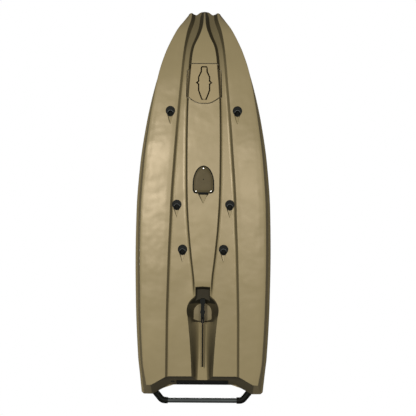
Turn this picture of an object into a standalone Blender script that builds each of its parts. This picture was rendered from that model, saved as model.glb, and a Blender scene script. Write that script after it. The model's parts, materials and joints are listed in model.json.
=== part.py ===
"""A wide tri-hull fishing kayak with a drive well, a rudder in a tunnel and a stern bar.

The origin is on the ground under the middle of the overall length and of the beam.
+Y runs to the bow, +X to starboard and +Z up. Lengths are in metres, angles in degrees.
"""

import math

import bmesh
import bpy
from mathutils import Matrix, Vector

# Overall sizes
OVERALL_LENGTH = 3.19
HULL_LENGTH = 3.10
BEAM = 1.092
GUNWALE_HEIGHT = 0.275
BOW_RISE = 0.050
WALL = 0.006
GAP = 0.0003
BOW_Y = OVERALL_LENGTH / 2
STERN_Y = BOW_Y - HULL_LENGTH

# Hull form, as (share of the hull's length from the stern, share of the size named beside it)
GUNWALE = (
    (0, 0.897), (0.1, 0.953), (0.24, 0.99), (0.36, 1), (0.48, 0.989), (0.6, 0.938), (0.7, 0.855),
    (0.8, 0.731), (0.88, 0.593), (0.94, 0.449), (0.975, 0.325), (1, 0.232),
)
KEEL_HALF = 0.1365
KEEL = (
    (0.2, 0.42), (0.293, 0.474), (0.364, 0.649), (0.435, 0.801), (0.506, 0.899), (0.576, 0.974),
    (0.647, 1), (0.718, 0.967), (0.789, 0.905), (0.824, 0.839), (0.87, 0.72), (0.902, 0.549),
    (0.953, 0.3), (0.979, 0.13), (1, 0.09),
)
SPONSON_WIDTH = 0.284
SPONSON_WIDTHS = (
    (0, 0.72), (0.1, 0.829), (0.24, 0.913), (0.36, 0.967), (0.48, 1), (0.6, 0.979), (0.7, 0.901),
    (0.8, 0.758), (0.88, 0.575), (0.94, 0.407), (0.975, 0.265), (1, 0.114),
)
SPONSON_PROFILE = ((0.14, 0), (0.45, 0.01), (0.76, 0.035), (0.93, 0.08), (1, 0.2))
FLARE = 0.047
FLARES = ((0, 0.96), (0.3, 1), (0.5, 0.87), (0.75, 0.74), (0.9, 0.5), (1, 0.22))
CHANNEL_DEPTH = 0.030
CHANNEL_TOPS = ((0.7, 1), (0.75, 1.13), (0.82, 1.5), (0.88, 2.5), (0.93, 4.3), (0.965, 6.3), (1, 8.4))
KEEL_ROCKER = 0.22
KEEL_RISES = ((0.77, 0), (0.85, 0.02), (0.9, 0.1), (0.94, 0.25), (0.97, 0.5), (0.985, 0.72), (1, 1))
SPONSON_ROCKER = 0.20
SPONSON_RISES = ((0.65, 0), (0.73, 0.04), (0.82, 0.1), (0.88, 0.225), (0.93, 0.4), (0.965, 0.65), (1, 1))
KEEL_END = (0.255, 0.292)
KEEL_EDGE_MIN = 0.012
SHEER = ((0.6, 0), (0.75, 0.2), (0.88, 0.6), (0.975, 1), (1, 1))
STATIONS = (
    0, 0.09, 0.18, 0.255, 0.292, 0.37, 0.45, 0.53, 0.61, 0.68, 0.74, 0.79, 0.835, 0.875, 0.91, 0.94,
    0.97, 1,
)
WALL_RUN = 0.022
GUNWALE_BAND = 0.012
BOW_LOBES = ((0, 0), (0.03, 0.006), (0.072, 0.029), (0.106, 0.010), (0.14, 0.034))
TRANSOM_RAKE = 0.117
TRANSOM_NOTCH = 0.075
NOTCH_INSETS = (0.2248, 0.0898)
STERN_CORNER_REACH = 0.0248
STERN_CORNER_CUT = 0.027
STERN_CORNER_WIDTH = 0.03

# Deck
DECK_RISE = 0.034
CAMBER = 0.018
SHOULDER = 0.045
COCKPIT_FLOOR = 0.085
COCKPIT_SIDES = ((0.152, 1.17), (0.115, 0.80), (0.168, 0.35), (0.197, -0.10), (0.200, -0.55))
COCKPIT_DRAFT = 0.025
COCKPIT_RADIUS = 0.07
TANK_FLOOR = 0.190
TANK_SIDES = ((0.192, -0.68), (0.172, -1.0), (0.169, -1.33))
TANK_DRAFT = 0.02
TANK_RADIUS = 0.06
LAND_RISE = 0.003
LAND_ROOT = 0.012
LAND_MARGIN = 0.003

# Drive well: a pod let into the keel, with a bottle-shaped slot
DRIVE_Y = 0.98
POD = (
    (0.102, 0.157), (0.104, 0.115), (0.137, 0.105), (0.142, -0.12), (0.121, -0.133), (0.11, -0.142),
    (0.08, -0.157), (0.04, -0.165),
)
SLOT = (
    (0.017, 0.128), (0.023, 0.120), (0.023, 0.090), (0.0435, 0.047), (0.0435, 0.015), (0.058, 0.003),
    (0.0435, -0.009), (0.0435, -0.055), (0.030, -0.095), (0.017, -0.127),
)
POD_SEAM = 0.0012
SLOT_SEAM = 0.0018
SLEEVE_WALL = 0.005
SLEEVE_STAND = 0.004
PLUG_LIP = 0.008
PLUG_LIP_THICKNESS = 0.006
PLUG_HANDLE = (0.022, 0.100, 0.012)
PLUG_HANDLE_POST = 0.010
PLUG_HANDLE_CLEAR = 0.030

# Transducer cover on the keel
COVER_Y = 0.185
COVER_HALF = 0.081
COVER_FRONT = 0.1435
COVER_AFT = 0.068
COVER_CORNER = 0.030
COVER_THICKNESS = 0.012
COVER_EDGE = 0.012
COVER_SEAM = 0.0012
COVER_LIFT = 0.0008
CABLE_SLOT = (0.040, 0.021, 0.010)
COVER_SCREWS = (("front", 0, 0.1255), ("port", -0.0584, -0.0533), ("starboard", 0.0584, -0.0533))
SCREW_HEAD = 0.0045
SCREW_HEAD_HEIGHT = 0.0025
SCREW_SHANK = 0.002
SCREW_SIDES = 8

# Scuppers
SCUPPERS = (
    ("front", "sponson", 0.288, 0.763), ("mid", "channel", 0.656, 0.027), ("aft", "channel", 0.386, -0.326),
)
SPONSON_SEAT = 0.006
CHANNEL_SEAT = 0.001
SCUPPER_RING = 0.037
SCUPPER_TAIL = 0.0275
SCUPPER_SHIFT = 0.018
SCUPPER_FLANGE = 0.004
SCUPPER_TUBE = 0.0245
SCUPPER_BORE = 0.0195
SCUPPER_STAND = 0.002
SCUPPER_FIT = 0.0005
PLUG_HEAD = 0.0235
PLUG_HEAD_HEIGHT = 0.006
PLUG_LENGTH = 0.034
PLUG_TAPER = 0.0025
PLUG_KNOB = 0.008

# Tunnel and rudder
TUNNEL_DOME_Y = -0.792
TUNNEL_DOME = 0.126
DOME_SIDES = 28
PLATEAU_Y = -0.831
PLATEAU = 0.071
PLATEAU_Z = 0.150
TUNNEL_NECK = 0.053
TUNNEL_NECK_Z = 0.057
TUNNEL_START_Y = -0.619
TUNNEL_TAIL = ((-0.86, 0.110, 0.028, 0.125), (-1.035, 0.100, 0.030, 0.128), (-1.48, 0.078, 0.043, 0.134))
STOCK = 0.008
STOCK_RUNNING_FIT = 0.0004
BUSHING = 0.014
BUSHING_FLANGE = 0.020
BUSHING_FLANGE_THICKNESS = 0.003
HOUSING_WIDTH = 0.028
HOUSING_HEAD = 0.040
HOUSING_Y = (-0.905, -0.713)
HOUSING_HEAD_LENGTH = 0.046
HOUSING_Z = (0.036, 0.074)
HOUSING_POST = 0.013
BLADE_THICKNESS = 0.008
BLADE_PIVOT_Y = -0.882
BLADE_PIVOT_Z = 0.056
BLADE_HUB = 0.017
BLADE_FIT = 0.0006
BLADE = ((-0.930, 0.0305), (-1.02, 0.034), (-1.235, 0.046), (-1.2545, 0.058), (-1.245, 0.082),
         (-1.12, 0.096), (-0.97, 0.094), (-0.925, 0.082))
PIVOT_PIN = 0.004
QUADRANT = 0.056
QUADRANT_Z = (0.1615, 0.1695)
QUADRANT_HUB = 0.015

# Steering handle on the port side deck
STEERING_INSET = 0.1045
STEERING_Y = 0.100
STEERING_DISC = 0.026
STEERING_DISC_HEIGHT = 0.016
STEERING_LEVER = (0.018, 0.095, 0.010)
STEERING_SHAFT = 0.006
STEERING_DRUM = 0.014
STEERING_DRUM_HEIGHT = 0.014
STEERING_DRUM_DROP = 0.020

# Stern bar
BAR_TUBE = 0.0205
BAR_ELBOW = 0.027
BAR_VISIBLE_HALF = 0.28
BAR_SOCKET = 0.030
BAR_LIFT = 0.001
BAR_FOOT = (0.087, -1.435, 0.050, 0.080, 0.008)
ELBOW_STRAIGHT = 0.045
ELBOW_LEG = (0.012, 0.045)
ELBOW_END = 0.020
ELBOW_BEND = 0.045

# Transom pad and drain plug
PAD_INSET = 0.0585
PAD_HEIGHT = 0.115
PAD_THICKNESS = 0.006
PAD_Z = 0.195
DRAIN_INSET = 0.029
DRAIN_Z = 0.170
DRAIN_FLANGE = 0.016
DRAIN_FLANGE_THICKNESS = 0.005
DRAIN_BODY = 0.010
DRAIN_LENGTH = 0.018

# Bow hatch
HATCH_Y = 1.335
HATCH_OPENING = 0.078
HATCH_RIM = 0.098
HATCH_RIM_RISE = 0.008
HATCH_LID = 0.096
HATCH_LID_THICKNESS = 0.010
HATCH_DOME = 0.006
GASKET = (0.082, 0.093, 0.004)
HATCH_HINGE = (0.010, 0.008)
HATCH_PIN = 0.003
HATCH_KNUCKLE = 0.0065
HATCH_KNUCKLE_HALF = 0.022
HATCH_LUG = 0.010
HATCH_LUG_DEPTH = 0.052
LATCH_X = 0.035
LATCH = (0.020, 0.006, 0.030)
LATCH_PIN = 0.0022
LATCH_EAR = 0.004

# Seat
SEAT_Y = -0.20
SEAT_SIZE = (0.37, 0.36, 0.012)
SEAT_CLEAR = 0.066
SEAT_LEG = 0.012
SEAT_LEG_SPREAD = (0.150, 0.095)
SEAT_CUSHION = (0.35, 0.33, 0.040)
SEAT_BACK = (0.36, 0.42, 0.010)
SEAT_BACK_CUSHION = (0.33, 0.36, 0.035)
SEAT_LEAN = 12
SEAT_HINGE = (0.020, 0.055)
SEAT_PIN = 0.005
SEAT_EAR = 0.010
SEAT_EAR_X = 0.165
SEAT_EAR_RADIUS = 0.013
SEAT_KNUCKLE = 0.011
SEAT_ARM = 0.050
SEAT_BACK_RISE = 0.018
CUSHION_SHIFT = 0.012
CUSHION_CORNER = 0.05
CUSHION_CROWN = 0.010
CUSHION_DRAW = 0.008
CUSHION_LEVELS = ((0, 0.97), (0.25, 1), (0.6, 1), (0.85, 0.975), (1, 0.9))
CUSHION_CROWN_LEVELS = ((0.6, 0.75), (0.3, 0.95))

# Carry handles, as (name, side, y, turn about Z), gear tracks and rod holders
HANDLES = (("port", -1, -0.19, 180), ("starboard", 1, -0.19, 0), ("bow", 0, 1.485, 90))
HANDLE_INSET = 0.119
HANDLE_HALF = 0.062
HANDLE_REACH = 0.052
HANDLE_ROD = 0.005
HANDLE_AXIS_HEIGHT = 0.014
HANDLE_BASE = (0.020, 0.104, 0.004)
HANDLE_EAR = (0.014, 0.006)
HANDLE_EAR_TOP = 0.006
HANDLE_BEND = 0.008
TRACK_INSET = 0.098
TRACK_Y = (0.20, 0.48)
TRACK_WIDTH = 0.028
TRACK_HEIGHT = 0.012
TRACK_SLOT = (0.0085, 0.017, 0.003, 0.006)
ROD_INSET = 0.126
ROD_Y = -0.43
ROD_TUBE = 0.0245
ROD_BORE = 0.0215
ROD_DEPTH = 0.190
ROD_FLANGE = 0.036
ROD_FLANGE_THICKNESS = 0.005
ROD_CAP = 0.027
ROD_CAP_THICKNESS = 0.006
ROD_CAP_HINGE = (0.032, 0.004)
ROD_CAP_KNUCKLE = 0.0035
ROD_CAP_PIN = 0.0015
ROD_CAP_EAR = 0.003
ROD_CAP_HALF = 0.006
ROD_HOLDER_FLOOR = 0.004

# Flotation foam inside the sides
FOAM_INSET = 0.143
FOAM_Y = (-0.32, 0.20)
FOAM_TOP = 0.190
FOAM_FIT = 0.0015

BIG = 1.0
FINE = 24
MIDDLE = 16
COARSE = 12


# Materials and objects

def material(name, colour, roughness, metallic=0.0):
    made = bpy.data.materials.new(name)
    made.use_nodes = True
    shader = made.node_tree.nodes["Principled BSDF"]
    shader.inputs["Base Color"].default_value = (*colour, 1.0)
    shader.inputs["Roughness"].default_value = roughness
    shader.inputs["Metallic"].default_value = metallic
    return made


def placed(name, mesh, finish=None, origin=(0, 0, 0), turn=None):
    """An object from a bmesh in world coordinates, with its own origin at the point given."""
    mesh.transform(Matrix.Translation(-Vector(origin)))
    if turn:
        mesh.transform(turn.inverted())
    bmesh.ops.recalc_face_normals(mesh, faces=mesh.faces)
    data = bpy.data.meshes.new(name)
    mesh.to_mesh(data)
    mesh.free()
    data.shade_smooth()
    data.set_sharp_from_angle(angle=math.radians(35))
    made = bpy.data.objects.new(name, data)
    bpy.context.scene.collection.objects.link(made)
    made.location = origin
    if turn:
        made.rotation_euler = turn.to_euler()
    if finish:
        data.materials.append(finish)
    return made


def tool(name, mesh):
    """A cutter or a shape to join: it is left out of the render."""
    made = placed(name, mesh)
    made.hide_render = True
    made.display_type = "WIRE"
    return made


def boolean(target, other, operation):
    step = target.modifiers.new(operation.title(), "BOOLEAN")
    step.operation = operation
    step.solver = "EXACT"
    step.object = other


def cut(target, *others):
    for other in others:
        boolean(target, other, "DIFFERENCE")


def join(target, *others):
    for other in others:
        boolean(target, other, "UNION")


# Curves and outlines

def smooth(table, at):
    """A smooth curve through the table's points that never overshoots them."""
    if at <= table[0][0]:
        return table[0][1]
    if at >= table[-1][0]:
        return table[-1][1]
    slopes = [(b[1] - a[1]) / (b[0] - a[0]) for a, b in zip(table, table[1:])]
    tangents = [slopes[0]]
    for before, after in zip(slopes, slopes[1:]):
        same = before * after > 0
        tangents.append(2 * before * after / (before + after) if same else 0.0)
    tangents.append(slopes[-1])
    i = max(k for k in range(len(slopes)) if table[k][0] <= at)
    (x0, y0), (x1, y1) = table[i], table[i + 1]
    width = x1 - x0
    t = (at - x0) / width
    return (
        y0 * (2 * t**3 - 3 * t**2 + 1) + tangents[i] * width * (t**3 - 2 * t**2 + t)
        + y1 * (3 * t**2 - 2 * t**3) + tangents[i + 1] * width * (t**3 - t**2)
    )


def arc(centre, radius, start, end, steps):
    angles = [math.radians(start + (end - start) * k / steps) for k in range(steps + 1)]
    return [(centre[0] + radius * math.cos(a), centre[1] + radius * math.sin(a)) for a in angles]


def circle(radius, centre=(0, 0), sides=FINE):
    return arc(centre, radius, 0, 360 * (1 - 1 / sides), sides - 1)


def both_sides(half):
    """A closed outline, anticlockwise, from its starboard half listed from the front to the back."""
    return [(-x, y) for x, y in half] + [(x, y) for x, y in reversed(half)]


def offset(outline, distance):
    """The anticlockwise outline grown by a distance, with mitred corners."""
    grown = []
    count = len(outline)
    for i, (x, y) in enumerate(outline):
        before = Vector((x, y)) - Vector(outline[i - 1])
        after = Vector(outline[(i + 1) % count]) - Vector((x, y))
        normals = [Vector((edge.y, -edge.x)).normalized() for edge in (before, after)]
        middle = (normals[0] + normals[1]).normalized()
        reach = distance / max(middle.dot(normals[0]), 0.5)
        grown.append((x + middle.x * reach, y + middle.y * reach))
    return grown


def rounded(outline, radius, steps=5):
    """The outline with each corner replaced by an arc-like curve."""
    made = []
    count = len(outline)
    for i, point in enumerate(outline):
        here = Vector(point)
        before = Vector(outline[i - 1]) - here
        after = Vector(outline[(i + 1) % count]) - here
        half_angle = before.angle(after) / 2
        reach = min(radius / math.tan(half_angle), before.length * 0.48, after.length * 0.48)
        start = here + before.normalized() * reach
        end = here + after.normalized() * reach
        if reach < 0.1 * radius:
            made.append(tuple(here))
            continue
        for k in range(steps + 1):
            t = k / steps
            spot = start * (1 - t) ** 2 + here * 2 * t * (1 - t) + end * t**2
            made.append(tuple(spot))
    return made


def rectangle(width, length, centre=(0, 0)):
    x, y = width / 2, length / 2
    return [(centre[0] + a, centre[1] + b) for a, b in ((-x, -y), (x, -y), (x, y), (-x, y))]


def teardrop(front, back, shift, centre, grow=0.0, steps=4):
    """A round front with a smaller round tail behind it."""
    lean = math.degrees(math.asin((front - back) / shift)) if shift > front - back else 90
    x, y = centre
    return (
        arc((x, y), front + grow, -lean, 180 + lean, 2 * steps)
        + arc((x, y - shift), back + grow, 180 + lean, 360 - lean, steps)
    )


# Solids

def prism(outline, low, high, top=None):
    """An upright solid over an outline; a second outline shapes its top."""
    mesh = bmesh.new()
    bottom = [mesh.verts.new((x, y, low)) for x, y in outline]
    upper = [mesh.verts.new((x, y, high)) for x, y in (top or outline)]
    mesh.faces.new(bottom)
    mesh.faces.new(upper)
    for i in range(len(bottom)):
        mesh.faces.new((bottom[i - 1], bottom[i], upper[i], upper[i - 1]))
    return mesh


def block(size, centre):
    mesh = bmesh.new()
    bmesh.ops.create_cube(mesh, size=1.0, matrix=Matrix.Translation(centre) @ Matrix.Diagonal((*size, 1)))
    return mesh


def drum(radius, low, high, centre=(0, 0), sides=FINE):
    return prism(circle(radius, centre, sides), low, high)


def lying_drum(radius, start, end, y, z, sides=COARSE):
    """A round bar along X."""
    mesh = drum(radius, start, end, sides=sides)
    mesh.transform(Matrix.Translation((0, y, z)) @ Matrix.Rotation(math.radians(90), 4, "Y"))
    return mesh


def turned(profile, centre, sides=FINE):
    """A body turned about Z from (radius, height) points; a zero radius closes it on the axis."""
    mesh = bmesh.new()
    rings = []
    for radius, height in profile:
        if radius == 0:
            rings.append([mesh.verts.new((centre[0], centre[1], height))])
            continue
        rings.append([mesh.verts.new((x, y, height)) for x, y in circle(radius, centre, sides)])
    closed = profile[0][0] > 0
    pairs = zip(rings, rings[1:] + rings[:1]) if closed else zip(rings, rings[1:])
    for first, second in pairs:
        for i in range(sides):
            if len(first) == 1:
                corners = (first[0], second[i - 1], second[i])
            elif len(second) == 1:
                corners = (first[i - 1], first[i], second[0])
            else:
                corners = (first[i - 1], first[i], second[i], second[i - 1])
            mesh.faces.new(corners)
    return mesh


def swept(path, radius, sides=12):
    """A round rod along a path that stays in a level plane, with flat ends."""
    mesh = bmesh.new()
    rings = []
    for i, point in enumerate(path):
        here = Vector(point)
        ahead = (Vector(path[min(i + 1, len(path) - 1)]) - here).normalized()
        behind = (here - Vector(path[max(i - 1, 0)])).normalized()
        along = (ahead + behind).normalized()
        side = along.cross(Vector((0, 0, 1))).normalized()
        up = side.cross(along)
        stretch = 1 / max(along.dot(ahead if i == 0 else behind), 0.6)
        ring = []
        for k in range(sides):
            angle = 2 * math.pi * k / sides
            ring.append(mesh.verts.new(
                here + side * radius * stretch * math.cos(angle) + up * radius * math.sin(angle)
            ))
        rings.append(ring)
    for first, second in zip(rings, rings[1:]):
        for i in range(sides):
            mesh.faces.new((first[i - 1], first[i], second[i], second[i - 1]))
    mesh.faces.new(rings[0])
    mesh.faces.new(rings[-1])
    return mesh


def bent(points, radius, steps=5):
    """A path with its corners rounded off."""
    level = points[0][2]
    made = [points[0][:2]]
    for before, here, after in zip(points, points[1:], points[2:]):
        a, b, c = Vector(before[:2]), Vector(here[:2]), Vector(after[:2])
        reach = min(radius, (a - b).length * 0.49, (c - b).length * 0.49)
        start = b + (a - b).normalized() * reach
        end = b + (c - b).normalized() * reach
        for k in range(steps + 1):
            t = k / steps
            made.append(tuple(start * (1 - t) ** 2 + b * 2 * t * (1 - t) + end * t**2))
    made.append(points[-1][:2])
    return [(x, y, level) for x, y in made]


def divided(outline, longest):
    """The outline with its long edges split into equal shorter ones."""
    made = []
    for i, point in enumerate(outline):
        here = Vector(point)
        after = Vector(outline[(i + 1) % len(outline)])
        parts = max(math.ceil((after - here).length / longest), 1)
        made += [tuple(here.lerp(after, k / parts)) for k in range(parts)]
    return made


def drawn_in(outline, width, length):
    """The outline with its sides pulled in between the corners."""
    made = []
    for x, y in outline:
        across, along = 2 * x / width, 2 * y / length
        pull_x = CUSHION_DRAW * across**3 * math.cos(math.pi / 2 * along)
        pull_y = CUSHION_DRAW * along**3 * math.cos(math.pi / 2 * across)
        made.append((x - pull_x, y - pull_y))
    return made


def cushion(size, centre):
    """A pad with a crown on top and drawn-in sides; its underside is flat."""
    width, length, height = size
    corners = rounded(rectangle(width, length), CUSHION_CORNER, 4)
    outline = drawn_in(divided(corners, length / 4), width, length)
    side = height - CUSHION_CROWN
    levels = [(spread, side * share) for share, spread in CUSHION_LEVELS]
    levels += [(spread, side + CUSHION_CROWN * share) for spread, share in CUSHION_CROWN_LEVELS]
    mesh = bmesh.new()
    rings = []
    for spread, z in levels:
        points = [(centre[0] + x * spread, centre[1] + y * spread, centre[2] + z) for x, y in outline]
        rings.append([mesh.verts.new(point) for point in points])
    for first, second in zip(rings, rings[1:]):
        for i in range(len(outline)):
            mesh.faces.new((first[i - 1], first[i], second[i], second[i - 1]))
    mesh.faces.new(rings[0])
    mesh.faces.new(rings[-1])
    return mesh


# Hull form

def station_y(share):
    return STERN_Y + HULL_LENGTH * share


def share_at(y):
    return (y - STERN_Y) / HULL_LENGTH


def gunwale_half(share):
    return BEAM / 2 * smooth(GUNWALE, share)


def gunwale_z(share):
    return GUNWALE_HEIGHT + BOW_RISE * smooth(SHEER, share)


def channel_z(share):
    return CHANNEL_DEPTH * smooth(CHANNEL_TOPS, share)


def keel_half(share):
    return KEEL_HALF * smooth(KEEL, share)


def sponson_inner(share):
    """How far out a sponson's inner edge is."""
    return gunwale_half(share) - SPONSON_WIDTH * smooth(SPONSON_WIDTHS, share)


def chine_half(share):
    return gunwale_half(share) - FLARE * smooth(FLARES, share)


def side_x(y, inset):
    """A place at a distance in from the gunwale."""
    return gunwale_half(share_at(y)) - inset


def sponson_z(share):
    return SPONSON_ROCKER * smooth(SPONSON_RISES, share)


def keel_z(share):
    """Level amidships, rising to the bow, and running out into the channels ahead of the tunnel."""
    end, start = KEEL_END
    run_out = min(max((start - share) / (start - end), 0.0), 1.0)
    return max(KEEL_ROCKER * smooth(KEEL_RISES, share), run_out * channel_z(share))


def hull_section(share, inset=0.0):
    """Half of a cross-section as (x, z) points from the centreline to the gunwale."""
    ceiling = channel_z(share) + inset
    keel_low = keel_z(share) + inset
    low = sponson_z(share) + inset
    keel = keel_half(share) - 0.6 * inset
    inner = sponson_inner(share) + 0.6 * inset
    rim = gunwale_half(share) - inset
    chine = chine_half(share) - inset
    if inset and keel < 0.02:
        keel_low = ceiling
    keel = max(keel, KEEL_EDGE_MIN)
    run = min(WALL_RUN, (inner - keel) * 0.3)
    fall = ceiling - low
    width = chine - inner
    top = gunwale_z(share) - GUNWALE_BAND
    side = top - low
    channel = [
        (0, keel_low),
        (keel, keel_low),
        (keel + run, keel_low + 0.94 * (ceiling - keel_low)),
        ((keel + inner) / 2, ceiling),
        (inner - run, ceiling - 0.06 * fall),
        (inner, low + 0.05 * fall),
    ]
    sponson = [(inner + across * width, low + up * side) for across, up in SPONSON_PROFILE]
    return channel + sponson + [(chine + 0.55 * (rim - chine), low + 0.55 * side), (rim, top)]


def notch_x():
    """How far out the transom's notch starts to fall away and where it ends."""
    return [gunwale_half(0) - inset for inset in NOTCH_INSETS]


def transom_y(x, z):
    """The stern's raked and notched face."""
    near, far = notch_x()
    notch = min(max((far - abs(x)) / (far - near), 0.0), 1.0)
    corner = max((abs(x) - gunwale_half(0) + STERN_CORNER_REACH) / STERN_CORNER_WIDTH, 0.0)
    rake = TRANSOM_RAKE * (1 - min(z / GUNWALE_HEIGHT, 1.0))
    return STERN_Y + rake + TRANSOM_NOTCH * notch + STERN_CORNER_CUT * corner**2


def nose_y(x):
    """The bow's plan: a middle lobe and a lobe on each side."""
    return BOW_Y - smooth(BOW_LOBES, abs(x))


def ends_y(share, x, z, inset):
    if share == STATIONS[0]:
        return transom_y(x, z) + inset
    if share == STATIONS[-1]:
        return nose_y(x) - inset
    return station_y(share)


def mirrored(half):
    return [(-x, z) for x, z in reversed(half[1:])] + list(half)


def lofted(lower, upper, inset=0.0):
    """A closed solid between a lower and an upper half section, each a function of the share."""
    mesh = bmesh.new()
    rows = []
    for share in STATIONS:
        pair = []
        for section in (lower(share), upper(share)):
            points = mirrored(section)
            pair.append([mesh.verts.new((x, ends_y(share, x, z, inset), z)) for x, z in points])
        rows.append(pair)
    for (low0, high0), (low1, high1) in zip(rows, rows[1:]):
        for line0, line1 in ((low0, low1), (high0, high1)):
            for i in range(len(line0) - 1):
                mesh.faces.new((line0[i], line0[i + 1], line1[i + 1], line1[i]))
        for i in (0, -1):
            mesh.faces.new((low0[i], high0[i], high1[i], low1[i]))
    for low, high in (rows[0], rows[-1]):
        for i in range(len(low) - 1):
            mesh.faces.new((low[i], low[i + 1], high[i + 1], high[i]))
    return mesh


def hull_solid(inset=0.0, above=0.0):
    def lid(share):
        return [(x, gunwale_z(share) + above) for x, _ in hull_section(share, inset)]
    return lofted(lambda share: hull_section(share, inset), lid, inset)


def deck_top(share, x):
    """Height of the deck's surface inside its rounded shoulder."""
    flat = gunwale_half(share) - shoulder(share)
    return gunwale_z(share) + DECK_RISE + CAMBER * max(1 - (x / flat) ** 2, 0.0)


def shoulder(share):
    return min(SHOULDER, 0.3 * gunwale_half(share))


def deck_section(share, inset=0.0):
    rim = gunwale_half(share) - inset
    round_off = shoulder(share)
    base = gunwale_z(share)
    points = []
    for t in (0, 0.25, 0.5, 0.75, 1):
        x = t * (gunwale_half(share) - round_off)
        points.append((x, deck_top(share, x) - inset))
    for inward, rise in ((0.45, 0.86), (0.13, 0.56), (0, 0.25)):
        points.append((rim - inward * round_off, base + DECK_RISE * rise - (inset if inward else 0)))
    return points


def deck_solid(inset=0.0, below=GAP):
    def floor(share):
        return [(x, gunwale_z(share) + below) for x, _ in deck_section(share, inset)]
    return lofted(floor, lambda share: deck_section(share, inset), inset)


# Outlines that pieces share

def well_outline(sides, radius, grow=0.0):
    half = [(side_x(y, inset), y) for inset, y in sides]
    return rounded(offset(both_sides(half), grow), radius + max(grow, 0), 4)


def drive_outline(half, grow=0.0):
    shifted = [(x, y + DRIVE_Y) for x, y in half]
    return offset(both_sides(shifted), grow)


def cover_outline(grow=0.0):
    half = arc((0, 0), 1.0, 90, 0, 10)
    arch = [(COVER_HALF * x, COVER_Y + COVER_FRONT * y) for x, y in half]
    corner = arc((COVER_HALF - COVER_CORNER, COVER_Y - COVER_AFT + COVER_CORNER), COVER_CORNER, 0, -90, 5)
    return offset(both_sides((arch + corner)[1:]) + [arch[0]], grow)


# Hull shell with the tunnel, the pocket and the seats let into it

def tunnel_shapes(grow, name):
    """The dome, the neck ahead of it and the tail that runs out through the transom."""
    low = -0.05
    lean = (PLATEAU_Z - CHANNEL_DEPTH) / (TUNNEL_DOME - PLATEAU)
    mouth_extra = (CHANNEL_DEPTH - low) / lean
    bottom = circle(TUNNEL_DOME + mouth_extra + grow, (0, TUNNEL_DOME_Y), DOME_SIDES)
    top = circle(PLATEAU + grow, (0, PLATEAU_Y), DOME_SIDES)
    dome = tool(f"{name}_dome", prism(bottom, low, PLATEAU_Z + grow, top))
    neck_half = TUNNEL_NECK + grow
    fore, aft = TUNNEL_START_Y + grow, TUNNEL_DOME_Y
    neck_low = [(x * neck_half, aft) for x in (-1, 0, 1)] + [(x * neck_half, fore) for x in (1, 0, -1)]
    neck_high = [(x * 0.8, y if y == aft else y - 0.03) for x, y in neck_low]
    neck = tool(f"{name}_neck", prism(neck_low, low, TUNNEL_NECK_Z + grow, neck_high))
    mesh = bmesh.new()
    rings = []
    for y, mouth, ceiling, height in TUNNEL_TAIL:
        flare = (mouth - ceiling) / (height - CHANNEL_DEPTH)
        wide = mouth + flare * (CHANNEL_DEPTH - low) + grow
        narrow = ceiling + grow
        corners = ((-wide, low), (wide, low), (narrow, height + grow), (-narrow, height + grow))
        rings.append([mesh.verts.new((x, y, z)) for x, z in corners])
    for first, second in zip(rings, rings[1:]):
        for i in range(4):
            mesh.faces.new((first[i - 1], first[i], second[i], second[i - 1]))
    mesh.faces.new(rings[0])
    mesh.faces.new(rings[-1])
    return [dome, neck, tool(f"{name}_tail", mesh)]


def scupper_places():
    """Name, side, ring centre and seat height of each scupper."""
    for name, region, across, y in SCUPPERS:
        share = share_at(y)
        inside, outside = keel_half(share), sponson_inner(share)
        seat = channel_z(share) + CHANNEL_SEAT
        if region == "sponson":
            inside, outside = outside, chine_half(share)
            seat = sponson_z(share) + SPONSON_SEAT
        x = inside + across * (outside - inside)
        for side, sign in (("port", -1), ("starboard", 1)):
            yield f"{name}_{side}", sign * x, y, seat


def build_hull(colour):
    shell = placed("hull_shell", hull_solid(), colour)
    void = tool("hull_void", hull_solid(WALL, 0.05))
    tunnel = tunnel_shapes(0.0, "tunnel")
    cut(void, *tunnel_shapes(WALL, "tunnel_wall"))
    pocket_top = COVER_LIFT + COVER_THICKNESS + GAP
    pocket = tool("pocket", prism(cover_outline(COVER_SEAM), -0.02, pocket_top))
    cut(void, tool("pocket_wall", prism(cover_outline(COVER_SEAM + WALL), -0.02, pocket_top + WALL)))
    half, length, depth = CABLE_SLOT
    slot_y = COVER_Y - COVER_AFT - COVER_SEAM
    slot = tool("cable_slot", block((2 * half, length, 2 * depth), (0, slot_y - length / 2 + 0.004, 0)))
    cut(void, tool("cable_slot_wall", block(
        (2 * (half + WALL), length + 2 * WALL, 2 * (depth + WALL)), (0, slot_y - length / 2 + 0.004, 0)
    )))
    seats = []
    for name, x, y, seat in scupper_places():
        outline = teardrop(SCUPPER_RING, SCUPPER_TAIL, SCUPPER_SHIFT, (x, y), SCUPPER_FIT)
        wall = teardrop(SCUPPER_RING, SCUPPER_TAIL, SCUPPER_SHIFT, (x, y), SCUPPER_FIT + WALL)
        seats.append(tool(f"seat_{name}", prism(outline, -0.03, seat)))
        cut(void, tool(f"seat_wall_{name}", prism(wall, -0.03, seat + WALL)))
        centre = (x, y - SCUPPER_SHIFT)
        seats.append(tool(f"seat_bore_{name}", drum(SCUPPER_TUBE + SCUPPER_FIT, -0.03, 0.07, centre, COARSE)))
    cut(shell, void, *tunnel, pocket, slot)
    cut(shell, tool("pod_opening", prism(drive_outline(POD), -0.03, 0.075)))
    cut(shell, *seats)
    bore = drum(BUSHING + GAP, PLATEAU_Z - 0.03, PLATEAU_Z + 0.03, (0, PLATEAU_Y), MIDDLE)
    cut(shell, tool("bushing_bore", bore))
    for name, x, y in COVER_SCREWS:
        hole = drum(SCREW_SHANK + GAP, 0.0, pocket_top + 2 * WALL, (x, COVER_Y + y), SCREW_SIDES)
        cut(shell, tool(f"cover_hole_{name}", hole))
    drain = drum(DRAIN_BODY + GAP, -0.04, 0.04, sides=COARSE)
    drain.transform(on_transom(notch_x()[0] - DRAIN_INSET, DRAIN_Z))
    cut(shell, tool("drain_bore", drain))


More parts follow.
